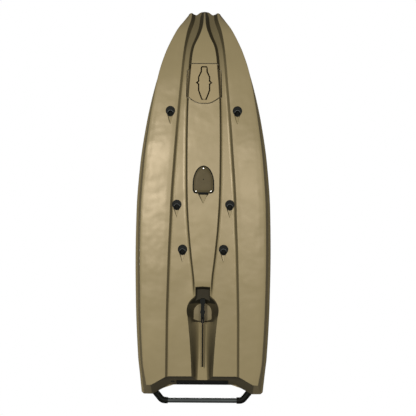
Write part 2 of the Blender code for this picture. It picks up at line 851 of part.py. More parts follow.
# Deck shell with its wells, lands and the hatch rim

def land_height(x, y, reach):
    """A level just over the deck's highest point within reach of a spot."""
    spots = ((x + a * reach, y + b * reach) for a in (-1, 0, 1) for b in (-1, 0, 1))
    return max(deck_top(share_at(b), a) for a, b in spots) + LAND_RISE


def steering_x():
    """The steering handle is on the port side."""
    return -side_x(STEERING_Y, STEERING_INSET)


def steering_land():
    return land_height(steering_x(), STEERING_Y, STEERING_DISC)


def track_x():
    return side_x(sum(TRACK_Y) / 2, TRACK_INSET)


def track_land():
    return max(land_height(track_x(), y, TRACK_WIDTH / 2) for y in TRACK_Y)


def rod_x():
    return side_x(ROD_Y, ROD_INSET)


def rod_land():
    return land_height(rod_x(), ROD_Y, ROD_FLANGE)


def handle_places():
    """Name, x, y, turn and the level of the land under each carry handle."""
    for name, side, y, turn in HANDLES:
        x = side * side_x(y, HANDLE_INSET)
        reach = HANDLE_BASE[0] if side else HANDLE_BASE[1] / 2
        yield name, x, y, turn, land_height(x, y, reach)


def foot_x():
    return side_x(BAR_FOOT[1], BAR_FOOT[0])


def foot_land():
    return land_height(foot_x(), BAR_FOOT[1], BAR_FOOT[2] * 0.4)


def bar_place():
    """Y and Z of the stern bar's axis."""
    return -OVERALL_LENGTH / 2 + BAR_ELBOW, foot_land() + GAP + BAR_ELBOW + BAR_LIFT


def hatch_rim_z():
    return land_height(0, HATCH_Y, HATCH_RIM) + CAMBER + HATCH_RIM_RISE


def slab_z(y0, y1):
    """A level inside the deck's thickness over a stretch of the boat."""
    return max(gunwale_z(share_at(y0)), gunwale_z(share_at(y1))) + 0.006


def lug(width, x, y, z, radius, below):
    """An upright ear round a pin's axis along X."""
    mesh = bmesh.new()
    outline = [(-radius, -below), (radius, -below)] + arc((0, 0), radius, 0, 180, 6)
    sides = []
    for across in (-width / 2, width / 2):
        sides.append([mesh.verts.new((x + across, y + a, z + b)) for a, b in outline])
    mesh.faces.new(sides[0])
    mesh.faces.new(sides[1])
    for i in range(len(outline)):
        mesh.faces.new((sides[0][i - 1], sides[0][i], sides[1][i], sides[1][i - 1]))
    return mesh


def build_deck(colour):
    shell = placed("deck_shell", deck_solid(), colour)
    void = tool("deck_void", deck_solid(WALL, -0.05))
    wells = (
        ("cockpit", COCKPIT_SIDES, COCKPIT_RADIUS, COCKPIT_DRAFT, COCKPIT_FLOOR),
        ("tank", TANK_SIDES, TANK_RADIUS, TANK_DRAFT, TANK_FLOOR),
    )
    hollows = []
    for name, sides, radius, draft, floor in wells:
        slab = slab_z(sides[0][1], sides[-1][1])
        slope = draft / (slab - floor)
        low = well_outline(sides, radius, WALL - draft)
        high = well_outline(sides, radius, WALL)
        join(shell, tool(f"{name}_tub", prism(low, floor - WALL, slab, high)))
        higher = well_outline(sides, radius, WALL + slope * 0.2)
        cut(void, tool(f"{name}_tub_wall", prism(low, floor - WALL, slab + 0.2, higher)))
        inner = well_outline(sides, radius, -draft)
        hollow_top = well_outline(sides, radius, slope * 0.2)
        hollows.append(tool(f"{name}_hollow", prism(inner, floor, slab + 0.2, hollow_top)))
    for name, outline, level in deck_lands():
        root = gunwale_z(share_at(outline[0][1])) + LAND_ROOT
        join(shell, tool(f"land_{name}", prism(outline, root, level)))
    cut(shell, void, *hollows)
    cut_deck_holes(shell)


def deck_lands():
    """Flat raised places for what is fastened to the deck."""
    yield "hatch", circle(HATCH_RIM, (0, HATCH_Y)), hatch_rim_z()
    disc = circle(STEERING_DISC + LAND_MARGIN, (steering_x(), STEERING_Y), COARSE)
    yield "steering", disc, steering_land()
    margin = 2 * LAND_MARGIN
    track = (TRACK_WIDTH + margin, TRACK_Y[1] - TRACK_Y[0] + 2 * margin)
    x, y, width, depth, _ = BAR_FOOT
    for side, sign in (("port", -1), ("starboard", 1)):
        yield f"track_{side}", rectangle(*track, (sign * track_x(), sum(TRACK_Y) / 2)), track_land()
        yield f"rod_{side}", circle(ROD_FLANGE + LAND_MARGIN, (sign * rod_x(), ROD_Y)), rod_land()
        yield f"foot_{side}", rectangle(width + margin, depth + margin, (sign * foot_x(), y)), foot_land()
    for name, x, y, turn, level in handle_places():
        width, length = HANDLE_BASE[0] + margin, HANDLE_BASE[1] + margin
        size = (length, width) if turn == 90 else (width, length)
        yield f"handle_{name}", divided(rectangle(*size, (x, y)), HANDLE_BASE[1] * 0.6), level


def cut_deck_holes(shell):
    low, high = -BIG, BIG
    cut(shell, tool("hatch_hole", drum(HATCH_OPENING, COCKPIT_FLOOR, high, (0, HATCH_Y))))
    sleeve = drive_outline(SLOT, SLEEVE_WALL + POD_SEAM)
    cut(shell, tool("sleeve_hole", prism(sleeve, COCKPIT_FLOOR - 0.03, COCKPIT_FLOOR + 0.03)))
    for name, x, y, _ in scupper_places():
        centre = (x, y - SCUPPER_SHIFT)
        hole = drum(SCUPPER_TUBE + GAP, COCKPIT_FLOOR - 0.03, COCKPIT_FLOOR + 0.03, centre, COARSE)
        cut(shell, tool(f"floor_hole_{name}", hole))
    for side, sign in (("port", -1), ("starboard", 1)):
        cut(shell, tool(f"rod_hole_{side}", drum(ROD_TUBE + GAP, low, high, (sign * rod_x(), ROD_Y), MIDDLE)))
    shaft = drum(STEERING_SHAFT + STOCK_RUNNING_FIT, low, high, (steering_x(), STEERING_Y), COARSE)
    cut(shell, tool("steering_hole", shaft))
    hinge_y, hinge_z = hatch_hinge()
    for x in (-1, 1):
        centre_x = x * (HATCH_KNUCKLE_HALF + GAP + HATCH_LUG / 2)
        ear = lug(HATCH_LUG, centre_x, hinge_y, hinge_z, HATCH_KNUCKLE, HATCH_LUG_DEPTH)
        join(shell, tool(f"hatch_lug_{x}", ear))
    reach = HATCH_KNUCKLE_HALF + HATCH_LUG + 0.004
    cut(shell, tool("hatch_pin_bore", lying_drum(HATCH_PIN + GAP, -reach, reach, hinge_y, hinge_z, 12)))


# Pod, plug and cover

def build_drive(tan, black):
    pod = placed("drive_pod", hull_solid(), tan)
    boolean(pod, tool("pod_shape", prism(drive_outline(POD, -POD_SEAM), -0.03, 0.07)), "INTERSECT")
    cut(pod, tool("pod_void", hull_solid(WALL, 0.05)))
    middle_share = share_at(DRIVE_Y)
    sleeve_top = COCKPIT_FLOOR + SLEEVE_STAND
    sleeve = prism(drive_outline(SLOT, SLEEVE_WALL), keel_z(middle_share) + 0.004, sleeve_top)
    join(pod, tool("pod_sleeve", sleeve))
    cut(pod, tool("pod_slot", prism(drive_outline(SLOT), -0.03, sleeve_top + 0.03)))

    plug = placed("drive_plug", hull_solid(), tan, (0, DRIVE_Y, COCKPIT_FLOOR))
    body = prism(drive_outline(SLOT, -SLOT_SEAM), -0.03, sleeve_top + GAP + 0.003)
    boolean(plug, tool("plug_body", body), "INTERSECT")
    lip_low = sleeve_top + GAP
    lip = prism(drive_outline(SLOT, PLUG_LIP), lip_low, lip_low + PLUG_LIP_THICKNESS)
    join(plug, tool("plug_lip", lip))

    width, length, thickness = PLUG_HANDLE
    base = lip_low + PLUG_LIP_THICKNESS + GAP
    top = base + PLUG_HANDLE_CLEAR + thickness
    grip = prism(rounded(rectangle(width, length, (0, DRIVE_Y)), 0.010), top - thickness, top)
    handle = placed("drive_plug_handle", grip, black, (0, DRIVE_Y, base))
    for sign in (-1, 1):
        spot = (0, DRIVE_Y + sign * (length / 2 - PLUG_HANDLE_POST))
        post = drum(PLUG_HANDLE_POST / 1.3, base, top - thickness / 2, spot, 16)
        join(handle, tool(f"plug_handle_post_{sign}", post))


def build_cover(dark, steel):
    low, high = COVER_LIFT, COVER_LIFT + COVER_THICKNESS
    edge = low + COVER_THICKNESS * 0.4
    cover = placed("transducer_cover", prism(cover_outline(), edge, high), dark)
    dome = prism(cover_outline(-COVER_EDGE), low, edge + 0.001, cover_outline(-0.002))
    join(cover, tool("cover_dome", dome))
    for name, x, y in COVER_SCREWS:
        spot = (x, COVER_Y + y)
        hole = drum(SCREW_SHANK + GAP, -0.01, high + 0.01, spot, SCREW_SIDES)
        sink = drum(SCREW_HEAD + GAP, -0.01, low + SCREW_HEAD_HEIGHT + GAP, spot, COARSE)
        cut(cover, tool(f"cover_plate_hole_{name}", hole), tool(f"cover_sink_{name}", sink))
        profile = (
            (0, low), (SCREW_HEAD, low), (SCREW_HEAD, low + SCREW_HEAD_HEIGHT),
            (SCREW_SHANK, low + SCREW_HEAD_HEIGHT), (SCREW_SHANK, high + 2 * WALL), (0, high + 2 * WALL),
        )
        placed(f"cover_screw_{name}", turned(profile, spot, COARSE), steel, (*spot, low))


# Scuppers

def build_scuppers(black, rubber):
    top = COCKPIT_FLOOR + SCUPPER_STAND
    for name, x, y, seat in scupper_places():
        centre = (x, y - SCUPPER_SHIFT)
        outline = teardrop(SCUPPER_RING, SCUPPER_TAIL, SCUPPER_SHIFT, (x, y))
        face = seat - GAP - SCUPPER_FLANGE
        tube = placed(f"scupper_tube_{name}", prism(outline, face, seat - GAP), black)
        barrel = drum(SCUPPER_TUBE, seat - SCUPPER_FLANGE / 2, top, centre, COARSE)
        join(tube, tool(f"barrel_{name}", barrel))
        dish = teardrop(SCUPPER_RING - 0.005, SCUPPER_TAIL - 0.004, SCUPPER_SHIFT, (x, y))
        cut(tube, tool(f"dish_{name}", prism(dish, face - 0.01, face + SCUPPER_FLANGE * 0.45)))
        cut(tube, tool(f"bore_{name}", drum(SCUPPER_BORE, face - 0.01, top + 0.01, centre, COARSE)))
        under = top + GAP
        head = under + PLUG_HEAD_HEIGHT
        radius = SCUPPER_BORE - SCUPPER_FIT
        profile = (
            (0, under - PLUG_LENGTH), (radius - PLUG_TAPER, under - PLUG_LENGTH), (radius, under),
            (PLUG_HEAD, under), (PLUG_HEAD, head), (PLUG_KNOB, head), (PLUG_KNOB, head + PLUG_KNOB),
            (0, head + PLUG_KNOB),
        )
        placed(f"scupper_plug_{name}", turned(profile, centre, COARSE), rubber, (*centre, under))


# Rudder and its steering

def rudder_box(width, y0, y1, z0, z1):
    return block((width, y1 - y0, z1 - z0), (0, (y0 + y1) / 2, (z0 + z1) / 2))


def build_rudder(black, dark, steel, plastic):
    y_aft, y_fore = HOUSING_Y
    z_low, z_high = HOUSING_Z
    body = rudder_box(HOUSING_WIDTH, y_aft, y_fore - 0.01, z_low, z_high)
    housing = placed("rudder_housing", body, black, (0, PLATEAU_Y, z_high))
    head_y = y_fore - HOUSING_HEAD_LENGTH / 2
    head = rounded(rectangle(HOUSING_HEAD, HOUSING_HEAD_LENGTH, (0, head_y)), 0.012, 3)
    join(housing, tool("housing_head", prism(head, z_low - 0.004, z_high - 0.004)))
    post_top = PLATEAU_Z - BUSHING_FLANGE_THICKNESS - 3 * GAP
    join(housing, tool("housing_post", drum(HOUSING_POST, z_low + 0.01, post_top, (0, PLATEAU_Y), 24)))
    bore = drum(STOCK + GAP, (z_low + z_high) / 2, post_top + 0.01, (0, PLATEAU_Y), COARSE)
    slot_front = BLADE_PIVOT_Y + BLADE_HUB + 0.003
    slot_width = BLADE_THICKNESS + 2 * BLADE_FIT
    slot = rudder_box(slot_width, y_aft - 0.02, slot_front, z_low - 0.02, z_high + 0.02)
    pin_bore = lying_drum(PIVOT_PIN + GAP, -HOUSING_WIDTH, HOUSING_WIDTH, BLADE_PIVOT_Y, BLADE_PIVOT_Z)
    cut(housing, tool("stock_bore", bore), tool("blade_slot", slot), tool("pivot_bore", pin_bore))

    stock_top = QUADRANT_Z[1] + 0.004
    stock = drum(STOCK, (z_low + z_high) / 2 + GAP, stock_top, (0, PLATEAU_Y), COARSE)
    placed("rudder_stock", stock, steel, (0, PLATEAU_Y, stock_top))
    flange_low = PLATEAU_Z - GAP - BUSHING_FLANGE_THICKNESS
    bore_radius = STOCK + STOCK_RUNNING_FIT
    bushing_top = PLATEAU_Z + WALL + 0.003
    ring = (
        (bore_radius, flange_low), (BUSHING_FLANGE, flange_low), (BUSHING_FLANGE, PLATEAU_Z - GAP),
        (BUSHING, PLATEAU_Z - GAP), (BUSHING, bushing_top), (bore_radius, bushing_top),
    )
    placed("rudder_bushing", turned(ring, (0, PLATEAU_Y), MIDDLE), plastic, (0, PLATEAU_Y, PLATEAU_Z))

    fan = [(0, 0)] + arc((0, 0), QUADRANT, 20, 160, 14)
    plate = prism([(x, y + PLATEAU_Y) for x, y in fan], *QUADRANT_Z)
    quadrant = placed("rudder_quadrant", plate, plastic, (0, PLATEAU_Y, QUADRANT_Z[0]))
    join(quadrant, tool("quadrant_hub", drum(QUADRANT_HUB, *QUADRANT_Z, (0, PLATEAU_Y), MIDDLE)))
    cut(quadrant, tool("quadrant_bore", drum(STOCK + GAP, 0.1, 0.25, (0, PLATEAU_Y), COARSE)))

    hub = arc((BLADE_PIVOT_Y, BLADE_PIVOT_Z), BLADE_HUB, 110, -110, 12)
    mesh = bmesh.new()
    sides = []
    for x in (-BLADE_THICKNESS / 2, BLADE_THICKNESS / 2):
        sides.append([mesh.verts.new((x, y, z)) for y, z in hub + list(BLADE)])
    mesh.faces.new(sides[0])
    mesh.faces.new(sides[1])
    for i in range(len(sides[0])):
        mesh.faces.new((sides[0][i - 1], sides[0][i], sides[1][i], sides[1][i - 1]))
    blade = placed("rudder_blade", mesh, dark, (0, BLADE_PIVOT_Y, BLADE_PIVOT_Z))
    reach = BLADE_THICKNESS
    bore = lying_drum(PIVOT_PIN + BLADE_FIT, -reach, reach, BLADE_PIVOT_Y, BLADE_PIVOT_Z)
    cut(blade, tool("blade_bore", bore))
    reach = HOUSING_WIDTH / 2
    pin = lying_drum(PIVOT_PIN, -reach, reach, BLADE_PIVOT_Y, BLADE_PIVOT_Z)
    placed("rudder_pivot_pin", pin, steel, (0, BLADE_PIVOT_Y, BLADE_PIVOT_Z))


def build_steering(black, steel):
    base = steering_land() + GAP
    spot = (steering_x(), STEERING_Y)
    knob = ((0, base), (STEERING_DISC, base), (STEERING_DISC * 0.9, base + STEERING_DISC_HEIGHT),
            (0, base + STEERING_DISC_HEIGHT))
    handle = placed("steering_handle", turned(knob, spot, 24), black, (*spot, base))
    width, length, height = STEERING_LEVER
    bar = rounded(rectangle(width, length, (spot[0], STEERING_Y + length / 2 - width / 2)), 0.008, 3)
    low = base + STEERING_DISC_HEIGHT * 0.6
    join(handle, tool("steering_lever", prism(bar, low, low + height)))
    socket = drum(STEERING_SHAFT + GAP, base - 0.01, base + STEERING_DISC_HEIGHT * 0.5, spot, COARSE)
    cut(handle, tool("steering_socket", socket))
    under = deck_top(share_at(STEERING_Y), spot[0]) - WALL - STEERING_DRUM_DROP
    shaft_top = base + STEERING_DISC_HEIGHT * 0.5 - GAP
    profile = (
        (0, under - STEERING_DRUM_HEIGHT), (STEERING_DRUM, under - STEERING_DRUM_HEIGHT),
        (STEERING_DRUM, under), (STEERING_SHAFT, under), (STEERING_SHAFT, shaft_top), (0, shaft_top),
    )
    placed("steering_shaft", turned(profile, spot, COARSE), steel, (*spot, under))


# Stern: bar, pad and drain plug

def on_transom(x, z, out=0.0):
    """A frame on the transom's middle: X to starboard, Y up the face and Z out of it."""
    slope = math.atan2(GUNWALE_HEIGHT, -TRANSOM_RAKE)
    place = Matrix.Translation((x, transom_y(0, z), z)) @ Matrix.Rotation(slope, 4, "X")
    return place @ Matrix.Translation((0, 0, out))


def build_stern(grey, black, olive):
    _, y, width, depth, thickness = BAR_FOOT
    x = foot_x()
    base = foot_land() + GAP
    bar_y, level = bar_place()
    half = BAR_VISIBLE_HALF + BAR_SOCKET
    tube = lying_drum(BAR_TUBE, -half + GAP, half - GAP, bar_y, level, 20)
    placed("stern_bar", tube, grey, (0, bar_y, level))
    for side, sign in (("port", -1), ("starboard", 1)):
        corners = [
            (sign * BAR_VISIBLE_HALF, bar_y, level),
            (sign * (BAR_VISIBLE_HALF + ELBOW_STRAIGHT), bar_y, level),
            (sign * (x - ELBOW_LEG[0]), y - ELBOW_LEG[1], level),
            (sign * x, y + ELBOW_END, level),
        ]
        elbow = placed(f"stern_elbow_{side}", swept(bent(corners, ELBOW_BEND, 4), BAR_ELBOW), black)
        foot = prism(rectangle(width, depth, (sign * x, y)), base, base + thickness)
        join(elbow, tool(f"elbow_foot_{side}", foot))
        ends = sorted((sign * (BAR_VISIBLE_HALF - 0.01), sign * half))
        cut(elbow, tool(f"elbow_socket_{side}", lying_drum(BAR_TUBE + GAP, *ends, bar_y, level, 20)))
    pad_width = 2 * (notch_x()[0] - PAD_INSET)
    pad = prism(rounded(rectangle(pad_width, PAD_HEIGHT), 0.015, 3), GAP, GAP + PAD_THICKNESS)
    pad.transform(on_transom(0, PAD_Z))
    placed("transom_pad", pad, black)
    low = -DRAIN_LENGTH
    profile = ((0, low), (DRAIN_BODY, low), (DRAIN_BODY, GAP), (DRAIN_FLANGE, GAP),
               (DRAIN_FLANGE * 0.9, DRAIN_FLANGE_THICKNESS), (0, DRAIN_FLANGE_THICKNESS))
    plug = turned(profile, (0, 0), COARSE)
    frame = on_transom(notch_x()[0] - DRAIN_INSET, DRAIN_Z)
    plug.transform(frame)
    placed("drain_plug", plug, olive, tuple(frame.translation))


# Bow hatch

def hatch_hinge():
    """Y and Z of the lid's hinge axis."""
    return HATCH_Y + HATCH_RIM + HATCH_HINGE[0], hatch_rim_z() + HATCH_HINGE[1]


def build_hatch(tan, black, rubber, steel):
    rim = hatch_rim_z()
    inner, outer, height = GASKET
    low = rim + GAP
    ring = ((inner, low), (outer, low), (outer, low + height), (inner, low + height))
    placed("hatch_gasket", turned(ring, (0, HATCH_Y)), rubber, (0, HATCH_Y, low))
    hinge_y, hinge_z = hatch_hinge()
    under = low + height + GAP
    top = under + HATCH_LID_THICKNESS
    profile = ((0, under), (HATCH_LID, under), (HATCH_LID, top - 0.003), (HATCH_LID - 0.003, top),
               (HATCH_LID * 0.8, top), (HATCH_LID * 0.7, top + HATCH_DOME), (0, top + HATCH_DOME))
    lid = placed("hatch_lid", turned(profile, (0, HATCH_Y)), tan, (0, hinge_y, hinge_z))
    width = 2 * HATCH_KNUCKLE_HALF
    arm_y = (HATCH_Y + HATCH_LID - 0.012, hinge_y - HATCH_PIN - 2 * GAP)
    arm_size = (width - 4 * GAP, arm_y[1] - arm_y[0], HATCH_KNUCKLE)
    arm = block(arm_size, (0, sum(arm_y) / 2, under + GAP + HATCH_KNUCKLE / 2))
    knuckle = lying_drum(HATCH_KNUCKLE, -width / 2, width / 2, hinge_y, hinge_z)
    join(lid, tool("lid_arm", arm), tool("lid_knuckle", knuckle))
    reach = HATCH_KNUCKLE_HALF + 0.004
    cut(lid, tool("lid_bore", lying_drum(HATCH_PIN + GAP, -reach, reach, hinge_y, hinge_z, 12)))
    reach = HATCH_KNUCKLE_HALF + GAP + HATCH_LUG
    placed("hatch_hinge_pin", lying_drum(HATCH_PIN, -reach, reach, hinge_y, hinge_z, 12), steel,
           (0, hinge_y, hinge_z))
    across, thick, tall = LATCH
    latch_y = HATCH_Y - HATCH_RIM - 0.003 - thick / 2
    latch_z = under + HATCH_LID_THICKNESS / 2
    for side, sign in (("port", -1), ("starboard", 1)):
        x = sign * LATCH_X
        for ear in (-1, 1):
            ear_x = x + ear * (across / 2 + GAP + LATCH_EAR / 2)
            back = HATCH_Y - HATCH_LID * 0.85
            size = (LATCH_EAR, back - latch_y + 0.004, 0.008)
            shape = block(size, (ear_x, (back + latch_y - 0.004) / 2, latch_z))
            join(lid, tool(f"latch_ear_{side}_{ear}", shape))
        span = across / 2 + LATCH_EAR
        pin = lying_drum(LATCH_PIN, x - span, x + span, latch_y, latch_z, 10)
        join(lid, tool(f"latch_pin_{side}", pin))
        body = block((across, thick, tall), (x, latch_y, latch_z - tall / 2 + thick / 2))
        latch = placed(f"hatch_latch_{side}", body, black, (x, latch_y, latch_z))
        bore = lying_drum(LATCH_PIN + GAP, x - across, x + across, latch_y, latch_z, 10)
        cut(latch, tool(f"latch_bore_{side}", bore))


# Seat

def seat_hinge():
    back, height = SEAT_HINGE
    pan_top = COCKPIT_FLOOR + SEAT_CLEAR + SEAT_SIZE[2]
    return SEAT_Y - SEAT_SIZE[1] / 2 - back, pan_top + height


def build_seat(grey, fabric, steel):
    width, length, thickness = SEAT_SIZE
    low = COCKPIT_FLOOR + SEAT_CLEAR
    board = prism(rounded(rectangle(width, length, (0, SEAT_Y)), 0.03, 3), low, low + thickness)
    pan = placed("seat_pan", board, grey)
    for a in (-1, 1):
        for b in (-1, 1):
            spot = (a * SEAT_LEG_SPREAD[0], SEAT_Y + b * SEAT_LEG_SPREAD[1])
            leg = drum(SEAT_LEG, COCKPIT_FLOOR + GAP, low + thickness / 2, spot, 10)
            join(pan, tool(f"seat_leg_{a}_{b}", leg))
    hinge_y, hinge_z = seat_hinge()
    for sign in (-1, 1):
        for step in (0, 1):
            x = sign * (SEAT_EAR_X - step * (2 * SEAT_EAR + 2 * GAP))
            ear = lug(SEAT_EAR, x, hinge_y, hinge_z, SEAT_EAR_RADIUS, hinge_z - low - thickness / 2)
            join(pan, tool(f"seat_ear_{sign}_{step}", ear))
            tie_y = (hinge_y - SEAT_EAR_RADIUS, SEAT_Y - length / 2 + 0.02)
            tie_size = (SEAT_EAR, tie_y[1] - tie_y[0], thickness)
            tie = block(tie_size, (x, sum(tie_y) / 2, low + thickness / 2))
            join(pan, tool(f"seat_tie_{sign}_{step}", tie))
    reach = SEAT_EAR_X + SEAT_EAR / 2
    cut(pan, tool("seat_bore", lying_drum(SEAT_PIN + GAP, -width, width, hinge_y, hinge_z, 12)))
    pin = lying_drum(SEAT_PIN, -reach, reach, hinge_y, hinge_z, 12)
    placed("seat_hinge_pin", pin, steel, (0, hinge_y, hinge_z))
    padding = cushion(SEAT_CUSHION, (0, SEAT_Y + CUSHION_SHIFT, low + thickness + GAP))
    placed("seat_cushion", padding, fabric)
    build_seat_back(grey, fabric, hinge_y, hinge_z)


def build_seat_back(grey, fabric, hinge_y, hinge_z):
    """Made upright at the hinge and leaned back by the object's rotation."""
    width, tall, thickness = SEAT_BACK
    middle = SEAT_BACK_RISE + tall / 2
    lean = Matrix.Translation((0, hinge_y, hinge_z)) @ Matrix.Rotation(math.radians(SEAT_LEAN), 4, "X")
    upright = Matrix.Rotation(math.radians(90), 4, "X")
    outline = rounded(rectangle(width, tall, (0, middle)), 0.05, 4)
    board = prism(outline, -thickness / 2, thickness / 2)
    board.transform(lean @ upright)
    back = placed("seat_back", board, grey, (0, hinge_y, hinge_z))
    half = SEAT_EAR / 2 - GAP
    for sign in (-1, 1):
        x = sign * (SEAT_EAR_X - SEAT_EAR - GAP)
        knuckle = lying_drum(SEAT_KNUCKLE, x - half, x + half, hinge_y, hinge_z)
        arm = block((2 * half, thickness, SEAT_ARM), (x, 0, SEAT_ARM / 2))
        arm.transform(lean)
        join(back, tool(f"back_knuckle_{sign}", knuckle), tool(f"back_arm_{sign}", arm))
    cut(back, tool("back_bore", lying_drum(SEAT_PIN + GAP, -width, width, hinge_y, hinge_z, 12)))
    pad = cushion(SEAT_BACK_CUSHION, (0, 0, 0))
    front = Matrix.Translation((0, thickness / 2 + GAP, middle))
    pad.transform(lean @ front @ upright @ Matrix.Rotation(math.radians(180), 4, "X"))
    placed("seat_back_cushion", pad, fabric, (0, hinge_y, hinge_z))


# Deck fittings

def build_handles(black, plastic):
    width, length, thickness = HANDLE_BASE
    ear_width, ear_thickness = HANDLE_EAR
    ear_y = length / 2 - ear_thickness / 2
    ear_top = HANDLE_AXIS_HEIGHT + HANDLE_EAR_TOP
    axis = Matrix.Translation((0, 0, HANDLE_AXIS_HEIGHT)) @ Matrix.Rotation(math.radians(90), 4, "X")
    stub = length / 2 - ear_thickness - 0.004
    corners = [
        (0, -stub, HANDLE_AXIS_HEIGHT), (0, -HANDLE_HALF, HANDLE_AXIS_HEIGHT),
        (HANDLE_REACH, -HANDLE_HALF * 0.9, HANDLE_AXIS_HEIGHT),
        (HANDLE_REACH, HANDLE_HALF * 0.9, HANDLE_AXIS_HEIGHT),
        (0, HANDLE_HALF, HANDLE_AXIS_HEIGHT), (0, stub, HANDLE_AXIS_HEIGHT),
    ]
    for name, x, y, turn, land in handle_places():
        level = land + GAP
        frame = Matrix.Translation((x, y, level)) @ Matrix.Rotation(math.radians(turn), 4, "Z")
        base = prism(rectangle(width, length), 0, thickness)
        base.transform(frame)
        bracket = placed(f"handle_bracket_{name}", base, plastic, (x, y, level))
        for sign in (-1, 1):
            ear = block((ear_width, ear_thickness, ear_top), (0, sign * ear_y, ear_top / 2 + 0.001))
            ear.transform(frame)
            join(bracket, tool(f"handle_ear_{name}_{sign}", ear))
        bore = drum(HANDLE_ROD + GAP, -length, length, sides=COARSE)
        bore.transform(frame @ axis)
        cut(bracket, tool(f"handle_bore_{name}", bore))
        bail = swept(bent(corners, HANDLE_BEND, 3), HANDLE_ROD, 8)
        bail.transform(frame)
        placed(f"handle_{name}", bail, black, tuple(frame @ Vector((0, 0, HANDLE_AXIS_HEIGHT))))


def build_tracks(aluminium):
    mouth, inner, lip, cavity = TRACK_SLOT
    half = TRACK_WIDTH / 2
    floor = TRACK_HEIGHT - lip - cavity
    profile = [
        (-half, 0), (half, 0), (half, TRACK_HEIGHT), (mouth / 2, TRACK_HEIGHT),
        (mouth / 2, TRACK_HEIGHT - lip), (inner / 2, TRACK_HEIGHT - lip),
        (inner / 2, floor), (-inner / 2, floor),
        (-inner / 2, TRACK_HEIGHT - lip), (-mouth / 2, TRACK_HEIGHT - lip), (-mouth / 2, TRACK_HEIGHT),
        (-half, TRACK_HEIGHT),
    ]
    for side, sign in (("port", -1), ("starboard", 1)):
        rail = prism(profile, 0, TRACK_Y[1] - TRACK_Y[0])
        place = Matrix.Translation((sign * track_x(), TRACK_Y[1], track_land() + GAP))
        rail.transform(place @ Matrix.Rotation(math.radians(90), 4, "X"))
        placed(f"gear_track_{side}", rail, aluminium)


def build_rod_holders(black, rubber):
    level = rod_land() + GAP
    top = level + ROD_FLANGE_THICKNESS
    bottom = level - ROD_DEPTH
    hinge, height = ROD_CAP_HINGE
    axis_y, axis_z = ROD_Y + hinge, top + height
    cap_low = top + GAP
    cap_top = cap_low + ROD_CAP_THICKNESS
    ear_x = ROD_CAP_HALF + GAP + ROD_CAP_EAR / 2
    for side, sign in (("port", -1), ("starboard", 1)):
        x = sign * rod_x()
        profile = (
            (0, bottom), (ROD_TUBE, bottom), (ROD_TUBE, level), (ROD_FLANGE, level), (ROD_FLANGE, top),
            (ROD_BORE, top), (ROD_BORE, bottom + ROD_HOLDER_FLOOR), (0, bottom + ROD_HOLDER_FLOOR),
        )
        holder = placed(f"rod_holder_{side}", turned(profile, (x, ROD_Y), MIDDLE), black)
        for ear in (-1, 1):
            shape = lug(ROD_CAP_EAR, x + ear * ear_x, axis_y, axis_z, ROD_CAP_EAR, height + 0.002)
            join(holder, tool(f"cap_ear_{side}_{ear}", shape))
        pin = lying_drum(ROD_CAP_PIN, x - ear_x, x + ear_x, axis_y, axis_z, 10)
        join(holder, tool(f"cap_pin_{side}", pin))
        disc = ((0, cap_low), (ROD_CAP, cap_low), (ROD_CAP, cap_low + ROD_CAP_THICKNESS * 0.7),
                (ROD_CAP * 0.9, cap_top), (0, cap_top))
        cap = placed(f"rod_cap_{side}", turned(disc, (x, ROD_Y), MIDDLE), rubber, (x, axis_y, axis_z))
        arm = block((2 * ROD_CAP_HALF, 0.010, 0.003), (x, axis_y - 0.005, axis_z))
        knuckle = lying_drum(ROD_CAP_KNUCKLE, x - ROD_CAP_HALF, x + ROD_CAP_HALF, axis_y, axis_z, 14)
        join(cap, tool(f"cap_arm_{side}", arm), tool(f"cap_knuckle_{side}", knuckle))
        bore = lying_drum(ROD_CAP_PIN + GAP, x - ear_x, x + ear_x, axis_y, axis_z, 10)
        cut(cap, tool(f"cap_bore_{side}", bore))


def build_foam(foam):
    inner = side_x(sum(FOAM_Y) / 2, FOAM_INSET)
    outer = BEAM / 2 + WALL
    size = (outer - inner, FOAM_Y[1] - FOAM_Y[0], FOAM_TOP)
    for side, sign in (("port", -1), ("starboard", 1)):
        centre = (sign * (inner + outer) / 2, sum(FOAM_Y) / 2, FOAM_TOP / 2)
        made = placed(f"foam_block_{side}", hull_solid(WALL + FOAM_FIT), foam)
        boolean(made, tool(f"foam_shape_{side}", block(size, centre)), "INTERSECT")


def main():
    for old in list(bpy.data.objects):
        bpy.data.objects.remove(old)
    tan = material("hull_tan", (0.40, 0.33, 0.19), 0.42)
    deck_tan = material("deck_tan", (0.40, 0.33, 0.19), 0.45)
    pod_tan = material("pod_tan", (0.38, 0.31, 0.18), 0.42)
    dark = material("cover_olive", (0.11, 0.09, 0.05), 0.30)
    black = material("moulded_black", (0.016, 0.016, 0.015), 0.45)
    rubber = material("rubber", (0.02, 0.02, 0.018), 0.75)
    steel = material("stainless_steel", (0.75, 0.75, 0.73), 0.25, 1.0)
    grey = material("tube_grey", (0.085, 0.092, 0.093), 0.40, 0.3)
    aluminium = material("anodised_aluminium", (0.10, 0.10, 0.10), 0.35, 0.9)
    fabric = material("seat_fabric", (0.045, 0.047, 0.045), 0.90)
    plastic = material("nylon", (0.03, 0.03, 0.03), 0.50)
    olive = material("plug_olive", (0.12, 0.11, 0.06), 0.50)
    foam = material("foam", (0.80, 0.80, 0.78), 0.95)
    build_hull(tan)
    build_deck(deck_tan)
    build_drive(pod_tan, black)
    build_cover(dark, steel)
    build_scuppers(black, rubber)
    build_rudder(black, dark, steel, plastic)
    build_steering(black, steel)
    build_stern(grey, black, olive)
    build_hatch(tan, black, rubber, steel)
    build_seat(grey, fabric, steel)
    build_handles(black, plastic)
    build_tracks(aluminium)
    build_rod_holders(black, rubber)
    build_foam(foam)


main()
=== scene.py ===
"""The fishing kayak dressed for its picture: a smooth moulded hull and deck, sewn cushions,
finer fittings, their finishes, and a plain studio with the camera under the boat.
"""

import json
import math

import bpy
from mathutils import Matrix, Vector

